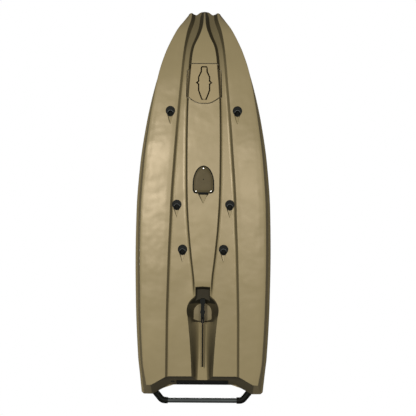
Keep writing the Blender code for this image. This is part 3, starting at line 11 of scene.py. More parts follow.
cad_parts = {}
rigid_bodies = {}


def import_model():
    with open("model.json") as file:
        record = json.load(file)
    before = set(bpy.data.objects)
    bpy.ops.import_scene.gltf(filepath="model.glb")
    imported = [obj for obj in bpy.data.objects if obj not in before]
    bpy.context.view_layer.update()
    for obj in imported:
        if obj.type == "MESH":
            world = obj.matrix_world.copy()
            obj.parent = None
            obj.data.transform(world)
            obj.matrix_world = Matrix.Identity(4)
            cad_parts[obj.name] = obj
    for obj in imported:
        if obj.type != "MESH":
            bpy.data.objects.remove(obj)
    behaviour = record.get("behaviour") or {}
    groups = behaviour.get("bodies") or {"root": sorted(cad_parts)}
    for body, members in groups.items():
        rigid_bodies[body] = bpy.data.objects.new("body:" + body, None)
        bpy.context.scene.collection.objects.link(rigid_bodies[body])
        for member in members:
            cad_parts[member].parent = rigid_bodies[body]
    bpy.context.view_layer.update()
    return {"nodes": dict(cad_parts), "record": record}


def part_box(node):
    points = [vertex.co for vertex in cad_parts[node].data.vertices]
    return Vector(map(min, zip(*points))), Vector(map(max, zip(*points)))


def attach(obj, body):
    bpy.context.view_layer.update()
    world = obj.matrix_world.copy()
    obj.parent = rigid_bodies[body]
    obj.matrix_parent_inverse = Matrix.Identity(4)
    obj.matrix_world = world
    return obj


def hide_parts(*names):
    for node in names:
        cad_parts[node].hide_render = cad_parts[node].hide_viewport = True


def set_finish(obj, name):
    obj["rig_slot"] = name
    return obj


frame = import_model()
SIDES = ("port", "starboard")

# Hull form: tables of (share of the length from the stern, share of the size), in metres where they
# stand alone
BOW_Y = 1.595
HULL_LENGTH = 3.10
STERN_Y = BOW_Y - HULL_LENGTH
HALF_BEAM = 0.546
GUNWALE = (
    (0, 0.897), (0.1, 0.953), (0.24, 0.99), (0.36, 1), (0.48, 0.989), (0.6, 0.938), (0.7, 0.855),
    (0.8, 0.731), (0.88, 0.586), (0.94, 0.425), (0.975, 0.318), (1, 0.232),
)
KEEL_HALF = 0.1265
KEEL = (
    (0.2, 0.453), (0.293, 0.511), (0.364, 0.7), (0.435, 0.864), (0.506, 0.965), (0.576, 0.995),
    (0.647, 1), (0.718, 0.98), (0.762, 0.949), (0.797, 0.9), (0.829, 0.83), (0.854, 0.783),
    (0.871, 0.743), (0.895, 0.625), (0.919, 0.356), (0.943, 0.15), (0.961, 0.08), (1, 0.04),
)
SPONSON_WIDTH = 0.284
SPONSON_WIDTHS = (
    (0, 0.72), (0.1, 0.829), (0.24, 0.913), (0.36, 0.967), (0.48, 1), (0.6, 0.979), (0.7, 0.901),
    (0.8, 0.758), (0.88, 0.562), (0.94, 0.361), (0.975, 0.252), (1, 0.114),
)
SPONSON_PROFILE = ((0.14, 0), (0.45, 0.008), (0.76, 0.020), (0.93, 0.032), (1, 0.042))
FLARE = 0.050
FLARES = ((0, 1), (0.3, 1), (0.5, 0.97), (0.65, 0.85), (0.75, 0.64), (0.86, 0.28), (1, 0.2))
CHANNEL_DEPTH = 0.030
CHANNEL_TOPS = ((0.7, 1), (0.75, 1.13), (0.82, 1.5), (0.88, 2.5), (0.93, 4.3), (0.965, 6.3), (1, 8.4))
KEEL_ROCKER = 0.22
KEEL_RISES = ((0.77, 0), (0.85, 0.02), (0.9, 0.1), (0.94, 0.25), (0.97, 0.5), (0.985, 0.72), (1, 1))
SPONSON_ROCKER = 0.20
SPONSON_RISES = ((0.65, 0), (0.73, 0.04), (0.82, 0.1), (0.88, 0.225), (0.93, 0.4), (0.965, 0.65), (1, 1))
KEEL_END = (0.255, 0.292)
KEEL_EDGE_MIN = 0.006
SHEER = ((0.6, 0), (0.75, 0.2), (0.88, 0.6), (0.975, 1), (1, 1))
GUNWALE_HEIGHT = 0.275
BOW_RISE = 0.050
GUNWALE_BAND = 0.012
BOW_LOBES = ((0, 0), (0.03, 0.006), (0.072, 0.029), (0.106, 0.010), (0.14, 0.034))
TRANSOM_RAKE = 0.117
TRANSOM_NOTCH = 0.075
NOTCH = (0.265, 0.400)
STERN_CORNER = (0.0248, 0.027, 0.03)
BOW_RAKE = 0.2
WALL = 0.006
STERN_BLEND = 0.09
BOW_BLEND = (0.93, 0.07)
BOW_RAKE_TOP = 0.31


def smooth(table, at):
    """A smooth curve through the table's points that never overshoots them."""
    if at <= table[0][0]:
        return table[0][1]
    if at >= table[-1][0]:
        return table[-1][1]
    slopes = [(b[1] - a[1]) / (b[0] - a[0]) for a, b in zip(table, table[1:])]
    tangents = [slopes[0]]
    for before, after in zip(slopes, slopes[1:]):
        same = before * after > 0
        tangents.append(2 * before * after / (before + after) if same else 0.0)
    tangents.append(slopes[-1])
    i = max(k for k in range(len(slopes)) if table[k][0] <= at)
    (x0, y0), (x1, y1) = table[i], table[i + 1]
    width = x1 - x0
    t = (at - x0) / width
    return (
        (2 * t**3 - 3 * t**2 + 1) * y0 + (t**3 - 2 * t**2 + t) * width * tangents[i]
        + (3 * t**2 - 2 * t**3) * y1 + (t**3 - t**2) * width * tangents[i + 1]
    )


def clamp(value, low=0.0, high=1.0):
    return min(max(value, low), high)


def share_at(y):
    return (y - STERN_Y) / HULL_LENGTH


def gunwale_half(share):
    return HALF_BEAM * smooth(GUNWALE, share)


def gunwale_z(share):
    return GUNWALE_HEIGHT + BOW_RISE * smooth(SHEER, share)


def channel_z(share):
    return CHANNEL_DEPTH * smooth(CHANNEL_TOPS, share)


def sponson_z(share):
    return SPONSON_ROCKER * smooth(SPONSON_RISES, share)


def keel_half(share):
    return KEEL_HALF * smooth(KEEL, share)


def sponson_inner(share):
    return gunwale_half(share) - SPONSON_WIDTH * smooth(SPONSON_WIDTHS, share)


def chine_half(share):
    return gunwale_half(share) - FLARE * smooth(FLARES, share)


def keel_z(share):
    end, start = KEEL_END
    run_out = clamp((start - share) / (start - end))
    return max(KEEL_ROCKER * smooth(KEEL_RISES, share), run_out * channel_z(share))


def transom_y(x, z):
    """The stern's raked and notched face."""
    near, far = NOTCH
    reach, depth, width = STERN_CORNER
    notch = clamp((far - abs(x)) / (far - near))
    corner = max((abs(x) - gunwale_half(0) + reach) / width, 0.0)
    rake = TRANSOM_RAKE * (1 - min(z / GUNWALE_HEIGHT, 1.0))
    return STERN_Y + rake + TRANSOM_NOTCH * notch + depth * corner**2


def ends_y(share, x, z, inset):
    """Where along the boat a point of a section lies, with the raked stern and the lobed bow."""
    level = STERN_Y + HULL_LENGTH * share
    if share < STERN_BLEND:
        stern = transom_y(x, z) + inset
        return stern + (STERN_Y + HULL_LENGTH * STERN_BLEND - stern) * share / STERN_BLEND
    start, reach = BOW_BLEND
    fade = max((share - start) / reach, 0.0)
    return level - (smooth(BOW_LOBES, abs(x)) + inset + BOW_RAKE * max(BOW_RAKE_TOP - z, 0.0)) * fade**2


def rounded_line(corners, steps=4):
    """Corners as (x, z, radius) made into points, each corner with a radius turned in steps."""
    points = []
    for i, (x, z, radius) in enumerate(corners):
        here = Vector((x, z))
        if not radius:
            points.append(here)
            continue
        before = Vector(corners[i - 1][:2]) - here
        after = Vector(corners[i + 1][:2]) - here
        reach = min(radius, 0.45 * before.length, 0.45 * after.length)
        start = here + before.normalized() * reach
        end = here + after.normalized() * reach
        for k in range(steps + 1):
            t = k / steps
            points.append(start * (1 - t) ** 2 + here * 2 * t * (1 - t) + end * t**2)
    return points


def hull_line(share, inset):
    """Half of the hull's section from the centreline to the gunwale, with moulded edges."""
    ceiling = channel_z(share) + inset
    keel_low = keel_z(share) + inset
    low = sponson_z(share) + inset
    keel = max(keel_half(share) - 0.6 * inset, KEEL_EDGE_MIN)
    if inset and keel < 0.02:
        keel_low = ceiling
    inner = sponson_inner(share) + 0.006 + 0.6 * inset
    rim = gunwale_half(share) - inset
    chine = chine_half(share) - inset
    gap = inner - keel
    rise = ceiling - keel_low
    fall = ceiling - low
    steep = min(max(0.4 * rise, 0.014), 0.26 * gap)
    wall = min(max(0.5 * fall, 0.018), 0.26 * gap)
    strip = min(0.034, 0.36 * gap)
    width = chine - inner
    top = gunwale_z(share) - GUNWALE_BAND
    side = top - low
    corners = [
        (0, keel_low, 0),
        (0.5 * keel, keel_low, 0),
        (keel, keel_low, 0.0035),
        (keel + steep, keel_low + 0.88 * rise, 0.004),
        (keel + steep + 0.4 * (strip - steep), keel_low + 0.965 * rise, 0.008),
        (keel + max(strip, 1.3 * steep), ceiling, 0.012),
        ((keel + inner) / 2, ceiling, 0),
        (inner - max(strip, 1.3 * wall), ceiling, 0.012),
        (inner - wall - 0.4 * (strip - wall), ceiling - 0.035 * fall, 0.008),
        (inner - wall, ceiling - 0.12 * fall, 0.004),
        (inner, low + 0.02 * fall, 0.0035),
    ]
    corners += [(inner + across * width, low + up * side, 0.01) for across, up in SPONSON_PROFILE[:4]]
    corners += [
        (chine, low + SPONSON_PROFILE[4][1] * side, 0.005),
        (chine + 0.6 * (rim - chine), low + 0.93 * side, 0.006),
        (rim - 0.002, top - 0.006, 0.004),
        (rim, top, 0),
    ]
    return rounded_line(corners)


# Making and joining pieces

def fresh():
    """Object mode with nothing selected."""
    if bpy.context.object and bpy.context.object.mode != "OBJECT":
        bpy.ops.object.mode_set(mode="OBJECT")
    bpy.ops.object.select_all(action="DESELECT")


def only(piece):
    fresh()
    bpy.context.view_layer.objects.active = piece
    piece.select_set(True)
    return piece


def named(name):
    """The primitive that was just added, under its own name, with its place in its mesh."""
    piece = bpy.context.object
    piece.name = name
    piece.data.name = name
    bpy.ops.object.transform_apply(location=True, rotation=True, scale=True)
    return piece


def apply(piece, kind, name="step", **settings):
    only(piece)
    modifier = piece.modifiers.new(name, kind)
    for key, value in settings.items():
        setattr(modifier, key, value)
    bpy.ops.object.modifier_apply(modifier=modifier.name)


def smooth_edges(piece, angle=35):
    only(piece)
    bpy.ops.object.shade_smooth_by_angle(angle=math.radians(angle))
    return piece


def outward(piece, merge=0.00005):
    """Doubles merged and every face turned outward."""
    only(piece)
    bpy.ops.object.mode_set(mode="EDIT")
    bpy.ops.mesh.select_all(action="SELECT")
    bpy.ops.mesh.remove_doubles(threshold=merge)
    bpy.ops.mesh.normals_make_consistent(inside=False)
    bpy.ops.object.mode_set(mode="OBJECT")
    return piece


def removed(pieces):
    for piece in pieces:
        bpy.data.objects.remove(piece, do_unlink=True)


def cut(piece, tools, operation="DIFFERENCE"):
    """Tools taken from a piece, or joined to it, one after another."""
    for tool in tools:
        apply(piece, "BOOLEAN", operation=operation, object=tool, solver="EXACT")


def linked(name, data):
    """A new object in the scene with the given mesh, lamp or camera."""
    made = bpy.data.objects.new(name, data)
    bpy.context.scene.collection.objects.link(made)
    return made


def solid(name, points, faces):
    mesh = bpy.data.meshes.new(name)
    mesh.from_pydata(points, [], faces)
    return outward(linked(name, mesh))


def prism(name, outline, low, high, top=None):
    """A plan outline raised from low to high, to another outline of as many points if one is given."""
    count = len(outline)
    points = [(x, y, low) for x, y in outline] + [(x, y, high) for x, y in top or outline]
    sides = [(i, (i + 1) % count, count + (i + 1) % count, count + i) for i in range(count)]
    return solid(name, points, sides + [tuple(range(count)), tuple(range(count, 2 * count))])


def skinned(name, rings):
    """A skin over rings of as many points each, capped at both ends."""
    count = len(rings[0])
    points = [tuple(point) for ring in rings for point in ring]
    faces = []
    for r in range(len(rings) - 1):
        for i in range(count):
            a, b = r * count + i, r * count + (i + 1) % count
            faces.append((a, b, b + count, a + count))
    faces += [tuple(range(count)), tuple(range(len(points) - count, len(points)))]
    return solid(name, points, faces)


def turned(name, profile, centre=(0, 0), sides=40):
    """A round piece spun about an upright axis from its profile of (radius, height)."""
    mesh = bpy.data.meshes.new(name)
    points = [(centre[0] + radius, centre[1], z) for radius, z in profile]
    mesh.from_pydata(points, [(i, i + 1) for i in range(len(points) - 1)], [])
    piece = only(linked(name, mesh))
    bpy.ops.object.mode_set(mode="EDIT")
    bpy.ops.mesh.select_all(action="SELECT")
    bpy.ops.mesh.spin(steps=sides, angle=2 * math.pi, center=(*centre, 0), axis=(0, 0, 1))
    bpy.ops.object.mode_set(mode="OBJECT")
    return outward(piece)


def copy_of(node, name):
    """A CAD node's own mesh as a new piece, with no material yet."""
    piece = linked(name, frame["nodes"][node].data.copy())
    piece.data.materials.clear()
    return piece


def slot_of(node):
    return next(row["material_slot"] for row in frame["record"]["subparts"] if row["node"] == node)


def finish(piece, body, node=None, angle=40, slot=None, even=False):
    """Shaded smooth, riding on its body and standing for its node, in the record's slot or one named."""
    smooth_edges(piece, angle)
    if even:
        apply(piece, "WEIGHTED_NORMAL", keep_sharp=True, weight=80)
    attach(piece, body)
    if node:
        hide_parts(node)
    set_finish(piece, slot or slot_of(node))


def grown(outline, distance):
    """An outline moved outward by a distance, corner by corner."""
    following = outline[1:] + outline[:1]
    area = sum(a[0] * b[1] - b[0] * a[1] for a, b in zip(outline, following))
    turn = 1 if area > 0 else -1
    moved = []
    for i, here in enumerate(outline):
        before = Vector(here) - Vector(outline[i - 1])
        after = Vector(following[i]) - Vector(here)
        first = Vector((before.y, -before.x)).normalized() * turn
        second = Vector((after.y, -after.x)).normalized() * turn
        middle = (first + second).normalized()
        reach = distance / max(middle.dot(first), 0.4)
        moved.append((here[0] + middle.x * reach, here[1] + middle.y * reach))
    return moved


def circle(radius, centre=(0, 0), sides=48):
    angles = [2 * math.pi * k / sides for k in range(sides)]
    return [(centre[0] + radius * math.cos(a), centre[1] + radius * math.sin(a)) for a in angles]


def arc(centre, radius, start, end, steps):
    angles = [math.radians(start + (end - start) * k / steps) for k in range(steps + 1)]
    return [(centre[0] + radius * math.cos(a), centre[1] + radius * math.sin(a)) for a in angles]


def both_sides(half):
    """A closed outline from its starboard half, given from bow to stern."""
    return list(half) + [(-x, y) for x, y in reversed(half)]


def softened(node, name, width, segments):
    """A CAD node's own shape with its edges rounded."""
    piece = only(copy_of(node, name))
    bpy.ops.object.mode_set(mode="EDIT")
    bpy.ops.mesh.select_all(action="SELECT")
    bpy.ops.mesh.remove_doubles(threshold=0.0001)
    bpy.ops.mesh.dissolve_limited(angle_limit=math.radians(1))
    bpy.ops.object.mode_set(mode="OBJECT")
    apply(piece, "BEVEL", width=width, segments=segments, limit_method="ANGLE",
          angle_limit=math.radians(36), harden_normals=False)
    return smooth_edges(piece, 40)


# The hull: one moulded shell with its tunnel, pockets and scupper seats

ROWS, VOID_ROWS = 132, 84
KEEL_FACE_Y = {"front": 0.763, "mid": 0.027, "aft": -0.326}
TUNNEL = (-0.792, 0.126)
PLATEAU = (-0.831, 0.071, 0.150)
STEP_Y = -0.900
NECK = (0.060, -0.602, 0.088)
TAIL = ((-0.86, 0.119, 0.018, 0.125), (-0.93, 0.111, 0.020, 0.126), (-1.035, 0.101, 0.022, 0.128),
        (-1.2, 0.090, 0.030, 0.131), (-1.48, 0.078, 0.042, 0.134))
POD_OUTLINE = (
    (0.112, 1.137), (0.114, 1.095), (0.137, 1.085), (0.142, 0.874), (0.131, 0.862), (0.118, 0.86),
    (0.095, 0.843), (0.065, 0.826), (0.033, 0.816),
)
COVER = (0.185, 0.081, 0.1435, 0.068, 0.030)
CABLE_SLOT = (0.040, 0.1247, 0.1035)
RING, RING_TAIL, RING_SHIFT = 0.037, 0.0275, 0.018
VOID_END = 0.945
POD_GAP = 0.008
DRIVE_Y = 0.98
SLOT = (
    (0.017, 0.128), (0.023, 0.120), (0.023, 0.090), (0.0435, 0.047), (0.0435, 0.015), (0.058, 0.003),
    (0.0435, -0.009), (0.0435, -0.055), (0.030, -0.095), (0.017, -0.127),
)
SLEEVE_TOP = 0.089
SLEEVE, WELL, CORE, PLUG_LIP = 0.0090, 0.0050, -0.0055, 0.0112
PLUG_TAIL = 0.1288
TONGUE = (0.010, 0.02)
LID_GAP = 0.0003
BELOW = -0.03
COVER_RAMP = (0.076, 0.118, 0.018, 0.014)
COVER_RAMP_WALL = (0.091, 0.132, -0.008, 0.020)
SCUPPER_RAMP = (0.050, -0.014, -0.122, 0.014)
SCUPPER_RAMP_WALL = (0.064, -0.002, -0.146, 0.020)
SCUPPER_BORE = 0.025
STOCK_BORE = 0.0143


def scuppers():
    """Name, ring centre and seat height of each scupper, read from its fitting."""
    for name, y in KEEL_FACE_Y.items():
        for side in SIDES:
            low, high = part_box(f"scupper_tube_{name}_{side}")
            share = share_at(y)
            seat = sponson_z(share) + 0.006 if name == "front" else channel_z(share) + 0.001
            yield f"{name}_{side}", (low.x + high.x) / 2, y, seat


def teardrop(centre, grow=0.0):
    """The scupper ring's outline: round ahead and narrower behind."""
    x, y = centre
    lean = 90 - math.degrees(math.acos((RING - RING_TAIL) / RING_SHIFT))
    front = arc((x, y), RING + grow, -lean, 180 + lean, 20)
    back = arc((x, y - RING_SHIFT), RING_TAIL + grow, 180 + lean, 360 - lean, 12)
    return front + back


def cover_outline(grow=0.0):
    y, half, front, aft, corner = COVER
    half, front, aft = half + grow, front + grow, aft + grow
    arch = [(half * x, y + front * up) for x, up in arc((0, 0), 1.0, 90, 0, 16)]
    turn = arc((half - corner, y - aft + corner), corner, 0, -90, 6)
    return both_sides((arch + turn)[1:]) + [arch[0]]


def hull_block(name, rows, inset=0.0, above=0.0, ahead=1.0):
    """The hull's outer form as one closed solid, laid out from a flat grid."""
    across = 2 * len(hull_line(0.5, inset)) - 2
    fresh()
    bpy.ops.mesh.primitive_grid_add(x_subdivisions=across, y_subdivisions=rows, size=1)
    piece = named(name)
    bpy.ops.object.mode_set(mode="EDIT")
    bpy.ops.mesh.select_all(action="SELECT")
    bpy.ops.mesh.extrude_region_move(TRANSFORM_OT_translate={"value": (0, 0, 1)})
    bpy.ops.object.mode_set(mode="OBJECT")
    lines = {}
    middle = across // 2
    for vertex in piece.data.vertices:
        column = round((vertex.co.x + 0.5) * across) - middle
        row = round((vertex.co.y + 0.5) * rows)
        share = ahead * row / rows
        if row not in lines:
            lines[row] = hull_line(share, inset)
        point = lines[row][abs(column)]
        x = math.copysign(point.x, column) if column else 0.0
        z = gunwale_z(share) + above if vertex.co.z > 0.5 else point.y
        vertex.co = (x, ends_y(share, x, z, inset), z)
    return outward(piece)


def tunnel_tools(grow, name):
    """The rudder dome, the neck ahead of it and the arched tail, as solids to cut with."""
    low = -0.05
    y, radius = TUNNEL
    top_y, top_radius, top = PLATEAU
    lean = (top - CHANNEL_DEPTH) / (radius - top_radius)
    mouth = circle(radius + (CHANNEL_DEPTH - low) / lean + grow, (0, y), 64)
    ceiling = []
    for a, b in circle(top_radius + grow, (0, top_y), 64):
        if b < top_y:
            a = max(min(1.6 * a, top_radius + grow), -top_radius - grow)
            b = max(b, STEP_Y - grow)
        ceiling.append((a, b))
    dome = prism(f"{name}_dome", mouth, low, top + grow, ceiling)
    half, start, height = NECK
    neck_low = [(-half - grow, y), (half + grow, y), (half + grow, start + grow), (0, start + grow + 0.004),
                (-half - grow, start + grow)]
    neck_high = [(0.94 * a, b if b == y else b - 0.045) for a, b in neck_low]
    neck = prism(f"{name}_neck", neck_low, low, height + grow, neck_high)
    rings = []
    for station, wide, flat, level in TAIL:
        rise = level + grow - CHANNEL_DEPTH
        ring = [(-wide - grow - 0.03, station, low), (wide + grow + 0.03, station, low)]
        half_arch = [
            (wide + grow, 0.0), (0.80 * wide + grow, 0.30), (flat + 0.45 * (wide - flat) + grow, 0.68),
            (flat + 0.16 * (wide - flat) + grow, 0.93), (flat + grow, 1.0), (0.4 * flat, 1.0),
        ]
        arch = half_arch + [(-a, up) for a, up in reversed(half_arch)]
        ring += [(a, station, CHANNEL_DEPTH + rise * up) for a, up in arch]
        rings.append(ring)
    return [dome, neck, skinned(f"{name}_tail", rings)]


def ramp_tool(name, centre, ramp, base):
    """A wedge that runs out to a point behind a fitting, from its half width, start, tip and depth."""
    x, y = centre
    half, start, tip, depth = ramp
    start, tip = y + start, y + tip
    near = start + 0.12 * (tip - start)
    low = base + BELOW
    points = [
        (x - half, start, low), (x + half, start, low), (x, tip, low),
        (x - 0.45 * half, start, base + depth), (x + 0.45 * half, start, base + depth),
        (x, tip - 0.2 * (tip - near), base + 0.25 * depth),
    ]
    return solid(name, points, [(0, 1, 2), (3, 4, 5), (0, 1, 4, 3), (1, 2, 5, 4), (2, 0, 3, 5)])


def slot_outline(distance):
    """The drive slot's bottle shape, moved out or in all round."""
    return grown(both_sides([(x, y + DRIVE_Y) for x, y in SLOT]), distance)


def make_drive(block, void):
    """The pod let into the keel and the plug in its slot, both with the hull's own form below."""
    pod = linked("pod_skin", block.data.copy())
    trim = prism("pod_trim", grown(both_sides(POD_OUTLINE), -POD_GAP), BELOW, 0.07)
    sleeve = prism("pod_sleeve", slot_outline(SLEEVE), 0.005, SLEEVE_TOP)
    well = prism("pod_well", slot_outline(WELL), BELOW, SLEEVE_TOP + 0.03)
    cut(pod, [trim], "INTERSECT")
    cut(pod, [void])
    cut(pod, [sleeve], "UNION")
    cut(pod, [well])
    plug = linked("plug_skin", block.data.copy())
    core = prism("plug_core", slot_outline(CORE), BELOW, SLEEVE_TOP + 0.003)
    lip = prism("plug_lip", slot_outline(PLUG_LIP), SLEEVE_TOP + LID_GAP, SLEEVE_TOP + 0.0063)
    half, reach = TONGUE
    tail = DRIVE_Y - PLUG_TAIL
    outline = [(-half, tail), (half, tail), (half, tail + reach), (-half, tail + reach)]
    tongue = prism("plug_tongue", outline, 0.002, 0.010)
    cut(plug, [core], "INTERSECT")
    cut(plug, [lip, tongue], "UNION")
    removed([trim, sleeve, well, core, lip, tongue])
    for piece, node, body in ((pod, "drive_pod", "hull"), (plug, "drive_plug", "drive_plug")):
        apply(piece, "BEVEL", width=0.0012, segments=2, limit_method="ANGLE", angle_limit=math.radians(40))
        finish(piece, body, node, even=True)


def make_hull():
    hull = hull_block("hull_skin", ROWS)
    void = hull_block("hull_void", VOID_ROWS, WALL, 0.05, VOID_END)
    make_drive(hull, void)
    walls = tunnel_tools(WALL, "tunnel_wall")
    tools = tunnel_tools(0.0, "tunnel")
    pocket_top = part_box("transducer_cover")[1].z + LID_GAP
    walls.append(prism("pocket_wall", cover_outline(0.0105), -0.02, pocket_top + 0.005))
    tools.append(prism("pocket", cover_outline(0.0042), -0.02, pocket_top))
    walls.append(ramp_tool("cover_ramp_wall", (0, 0), COVER_RAMP_WALL, WALL))
    tools.append(ramp_tool("cover_ramp", (0, 0), COVER_RAMP, 0.0))
    half, front, aft = CABLE_SLOT
    slot = [(-half, front), (-half, aft), (half, aft), (half, front)]
    tools.append(prism("cable_slot", slot, -0.02, 0.010))
    tools.append(prism("pod_opening", both_sides(POD_OUTLINE), BELOW, 0.075))
    for name, x, y, seat in scuppers():
        ring, surface = (x, y), sponson_z(share_at(y)) if "front" in name else channel_z(share_at(y))
        walls.append(prism(f"seat_wall_{name}", teardrop(ring, 0.0065), BELOW, seat + WALL))
        tools.append(prism(f"seat_{name}", teardrop(ring, 0.0005), BELOW, seat))
        tools.append(prism(f"bore_{name}", circle(SCUPPER_BORE, (x, y - RING_SHIFT), 32), BELOW, 0.07))
        tools.append(ramp_tool(f"ramp_{name}", ring, SCUPPER_RAMP, surface))
        walls.append(ramp_tool(f"ramp_wall_{name}", ring, SCUPPER_RAMP_WALL, surface + WALL))
    bore = prism("stock_bore", circle(STOCK_BORE, (0, PLATEAU[0]), 32), 0.12, 0.18)
    cut(void, walls)
    cut(hull, [void] + tools + [bore])
    removed([void, bore] + walls + tools)
    finish(hull, "hull", "hull_shell", 32, even=True)


# The cover, the scupper fittings and the other moulded fittings

COVER_LEVELS = ((-0.004, 0.0062), (-0.0062, 0.0036), (-0.0085, 0.0042), (-0.0125, 0.0026), (-0.018, 0.0015))
COVER_DOME = ((0.8, 0.0010), (0.5, 0.0006), (0.2, 0.0004))
DIMPLE_SHADE = (0.224, 0.0045)
SCUPPER_LIP = ((0, -0.0002), (0.0215, -0.0002), (0.0232, 0.0012))
# outer and inner radius of the painted highlight in the scupper's mouth
SCUPPER_BARREL, SCUPPER_INSIDE = 0.0245, 0.0195
LIT_CRESCENT = (0.0236, 0.0208)
PLUG_BODY = ((0.0155, 0), (0.0165, 0.001))
PLUG_HEAD = (
    (0.0188, -0.0003), (0.0188, 0), (0.0225, 0), (0.0235, 0.001), (0.0235, 0.005), (0.0222, 0.006),
    (0.0095, 0.006), (0.008, 0.0075), (0.008, 0.0125), (0.0068, 0.014), (0, 0.014),
)


def make_cover():
    """The transducer cover: a domed plate with a rolled rim, a dark disc painted as the shade in its dimple,
    and the seal that its cable leaves by.
    """
    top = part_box("transducer_cover")[1].z
    levels = ((-0.006, top), *COVER_LEVELS)
    rings = [[(x, y, z) for x, y in cover_outline(grow)] for grow, z in levels]
    middle, inmost = COVER[0], COVER_LEVELS[-1][0]
    for part, z in COVER_DOME:
        rings.append([(part * x, middle + part * (y - middle), z) for x, y in cover_outline(inmost)])
    gasket = prism("cover_gasket", cover_outline(0.0037), 0.0035, top)
    inside = prism("cover_gasket_inside", cover_outline(-0.0035), -0.01, top + 0.01)
    cut(gasket, [inside])
    removed([inside])
    finish(gasket, "hull", slot="rubber")
    finish(skinned("cover_dome", rings), "hull", "transducer_cover", 50)
    fresh()
    # painted shade: a thin dark disc on the dome where its dimple would lie in shade
    y, radius = DIMPLE_SHADE
    bpy.ops.mesh.primitive_cylinder_add(vertices=24, radius=radius, depth=0.001, location=(0, y, 0.0002))
    finish(named("cover_dimple"), "hull", slot="rubber")
    half, front, aft = CABLE_SLOT
    fresh()
    bpy.ops.mesh.primitive_cube_add(size=1, location=(0, (front + aft) / 2, 0.0066),
                                    scale=(2 * half - 0.001, front - aft - 0.001, 0.006))
    seal = named("cable_seal")
    apply(seal, "BEVEL", width=0.0015, segments=3)
    finish(seal, "hull", slot="rubber")


def make_scuppers():
    """Each scupper's flange with its dished face, raised lip and bore, a painted highlight on the bore's
    forward edge, and the plug that closes it.
    """
    for name, x, y, seat in scuppers():
        centre = (x, y - RING_SHIFT)
        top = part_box(f"scupper_tube_{name}")[1].z
        face = seat - 0.0043
        flange = prism(f"scupper_{name}", teardrop((x, y)), face, seat - LID_GAP)
        dish = prism("dish", teardrop((x, y), -0.0045), face - 0.01, face + 0.0020)
        wide, narrow = SCUPPER_BARREL, SCUPPER_INSIDE
        barrel = turned("barrel", ((0, seat - 0.002), (wide, seat - 0.002), (wide, top), (0, top)), centre)
        edge = [(radius, face + up) for radius, up in SCUPPER_LIP]
        lip = turned("lip", (*edge, (edge[-1][0], seat - 0.001), (0, seat - 0.001)), centre)
        low, high = face - 0.01, top + 0.01
        bore = turned("bore", ((0, low), (narrow, low), (narrow, high), (0, high)), centre)
        cut(flange, [dish])
        cut(flange, [barrel, lip], "UNION")
        cut(flange, [bore])
        removed([dish, barrel, lip, bore])
        finish(flange, "hull", f"scupper_tube_{name}", 35)
        # painted highlight: a thin grey sheet on the bore's forward edge, where its wall catches the light
        outer, inner = LIT_CRESCENT
        lit_arc = arc(centre, outer, 12, 168, 18) + arc(centre, inner, 168, 12, 18)
        finish(prism(f"lip_{name}", lit_arc, face - 0.0012, face), "hull", slot="tube_grey")
        low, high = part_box(f"scupper_plug_{name}")
        profile = [(0, low.z)] + [(radius, low.z + up) for radius, up in PLUG_BODY]
        head = high.z - PLUG_HEAD[-1][1]
        profile += [(radius, head + up) for radius, up in PLUG_HEAD]
        plug = turned(f"plug_{name}", profile, centre)
        finish(plug, f"scupper_plug_{name}", f"scupper_plug_{name}", 35)


# Fittings that follow the solids

STERN_TUCK = ((0, 0), (0.2, 0), (0.25, 0.8), (0.3, 1), (0.40, 1), (0.47, 0), (0.6, 0))
STERN_TUCK_MOST, STERN_TUCK_Y = 0.011, -1.38
RIM_TUCK = ((0.84, 0), (0.88, 0.22), (0.94, 1), (0.975, 0.41), (1, 0))
RIM_TUCK_MOST = 0.053
SIDE_TUCK = ((0, 0), (0.05, 0), (0.11, 1), (0.6, 1))
BLADE_GROWTH = 0.0015
SOFT_EDGES = {
    "deck_shell": 0.004, "hatch_lid": 0.0022, "seat_back": 0.003, "seat_pan": 0.002, "rudder_blade": 0.0016,
    "rudder_housing": 0.0012, "steering_handle": 0.002, "drive_plug_handle": 0.003, "transom_pad": 0.0015,
    "stern_elbow_*": 0.0015, "hatch_latch_*": 0.0012, "rod_holder_*": 0.0010, "rod_cap_*": 0.0012,
    "rudder_quadrant": 0.0010, "handle_bracket_*": 0.0010, "handle_bracket_bow": 0.0010, "handle_*": 0.0010,
    "handle_bow": 0.0010, "gear_track_*": 0.0005, "hatch_gasket": 0.0006, "cover_screw_front": 0.0004,
    "cover_screw_*": 0.0004, "drain_plug": 0.0008, "foam_block_*": 0.004,
}


def kept_inside(piece, room=0.004):
    """A block trimmed so that it lies inside the hull's wall."""
    for vertex in piece.data.vertices:
        x, y, z = vertex.co
        line = hull_line(share_at(y), WALL)
        reach = [
            a.x + (b.x - a.x) * (z - a.y) / (b.y - a.y)
            for a, b in zip(line, line[1:]) if min(a.y, b.y) <= z <= max(a.y, b.y) and a.y != b.y
        ]
        limit = max(reach) - room if reach else abs(x)
        if abs(x) > limit:
            vertex.co.x = math.copysign(limit, x)


def tucked(piece):
    """The deck's rim drawn in at the bow and at the transom's notch, so that it stays over the hull's."""
    for vertex in piece.data.vertices:
        side = smooth(SIDE_TUCK, abs(vertex.co.x))
        vertex.co.x *= 1 - RIM_TUCK_MOST * side * smooth(RIM_TUCK, share_at(vertex.co.y))
        if vertex.co.y < STERN_TUCK_Y:
            vertex.co.y += STERN_TUCK_MOST * smooth(STERN_TUCK, abs(vertex.co.x))


def make_fittings():
    """Fittings that keep the solids' shape, with the rounded edges of moulded and turned parts."""
    for kind, width in SOFT_EDGES.items():
        for node in [kind.replace("*", side) for side in SIDES] if "*" in kind else [kind]:
            piece = softened(node, f"{node}_moulded", width, 3 if width > 0.0011 else 2)
            if kind == "foam_block_*":
                kept_inside(piece)
            if kind == "rudder_blade":
                apply(piece, "DISPLACE", strength=BLADE_GROWTH, mid_level=0.0)
            if kind == "deck_shell":
                tucked(piece)
            body = frame["nodes"][node].parent.name.split(":")[1]
            finish(piece, body, node, even=True)


# The seat's sewn cushions

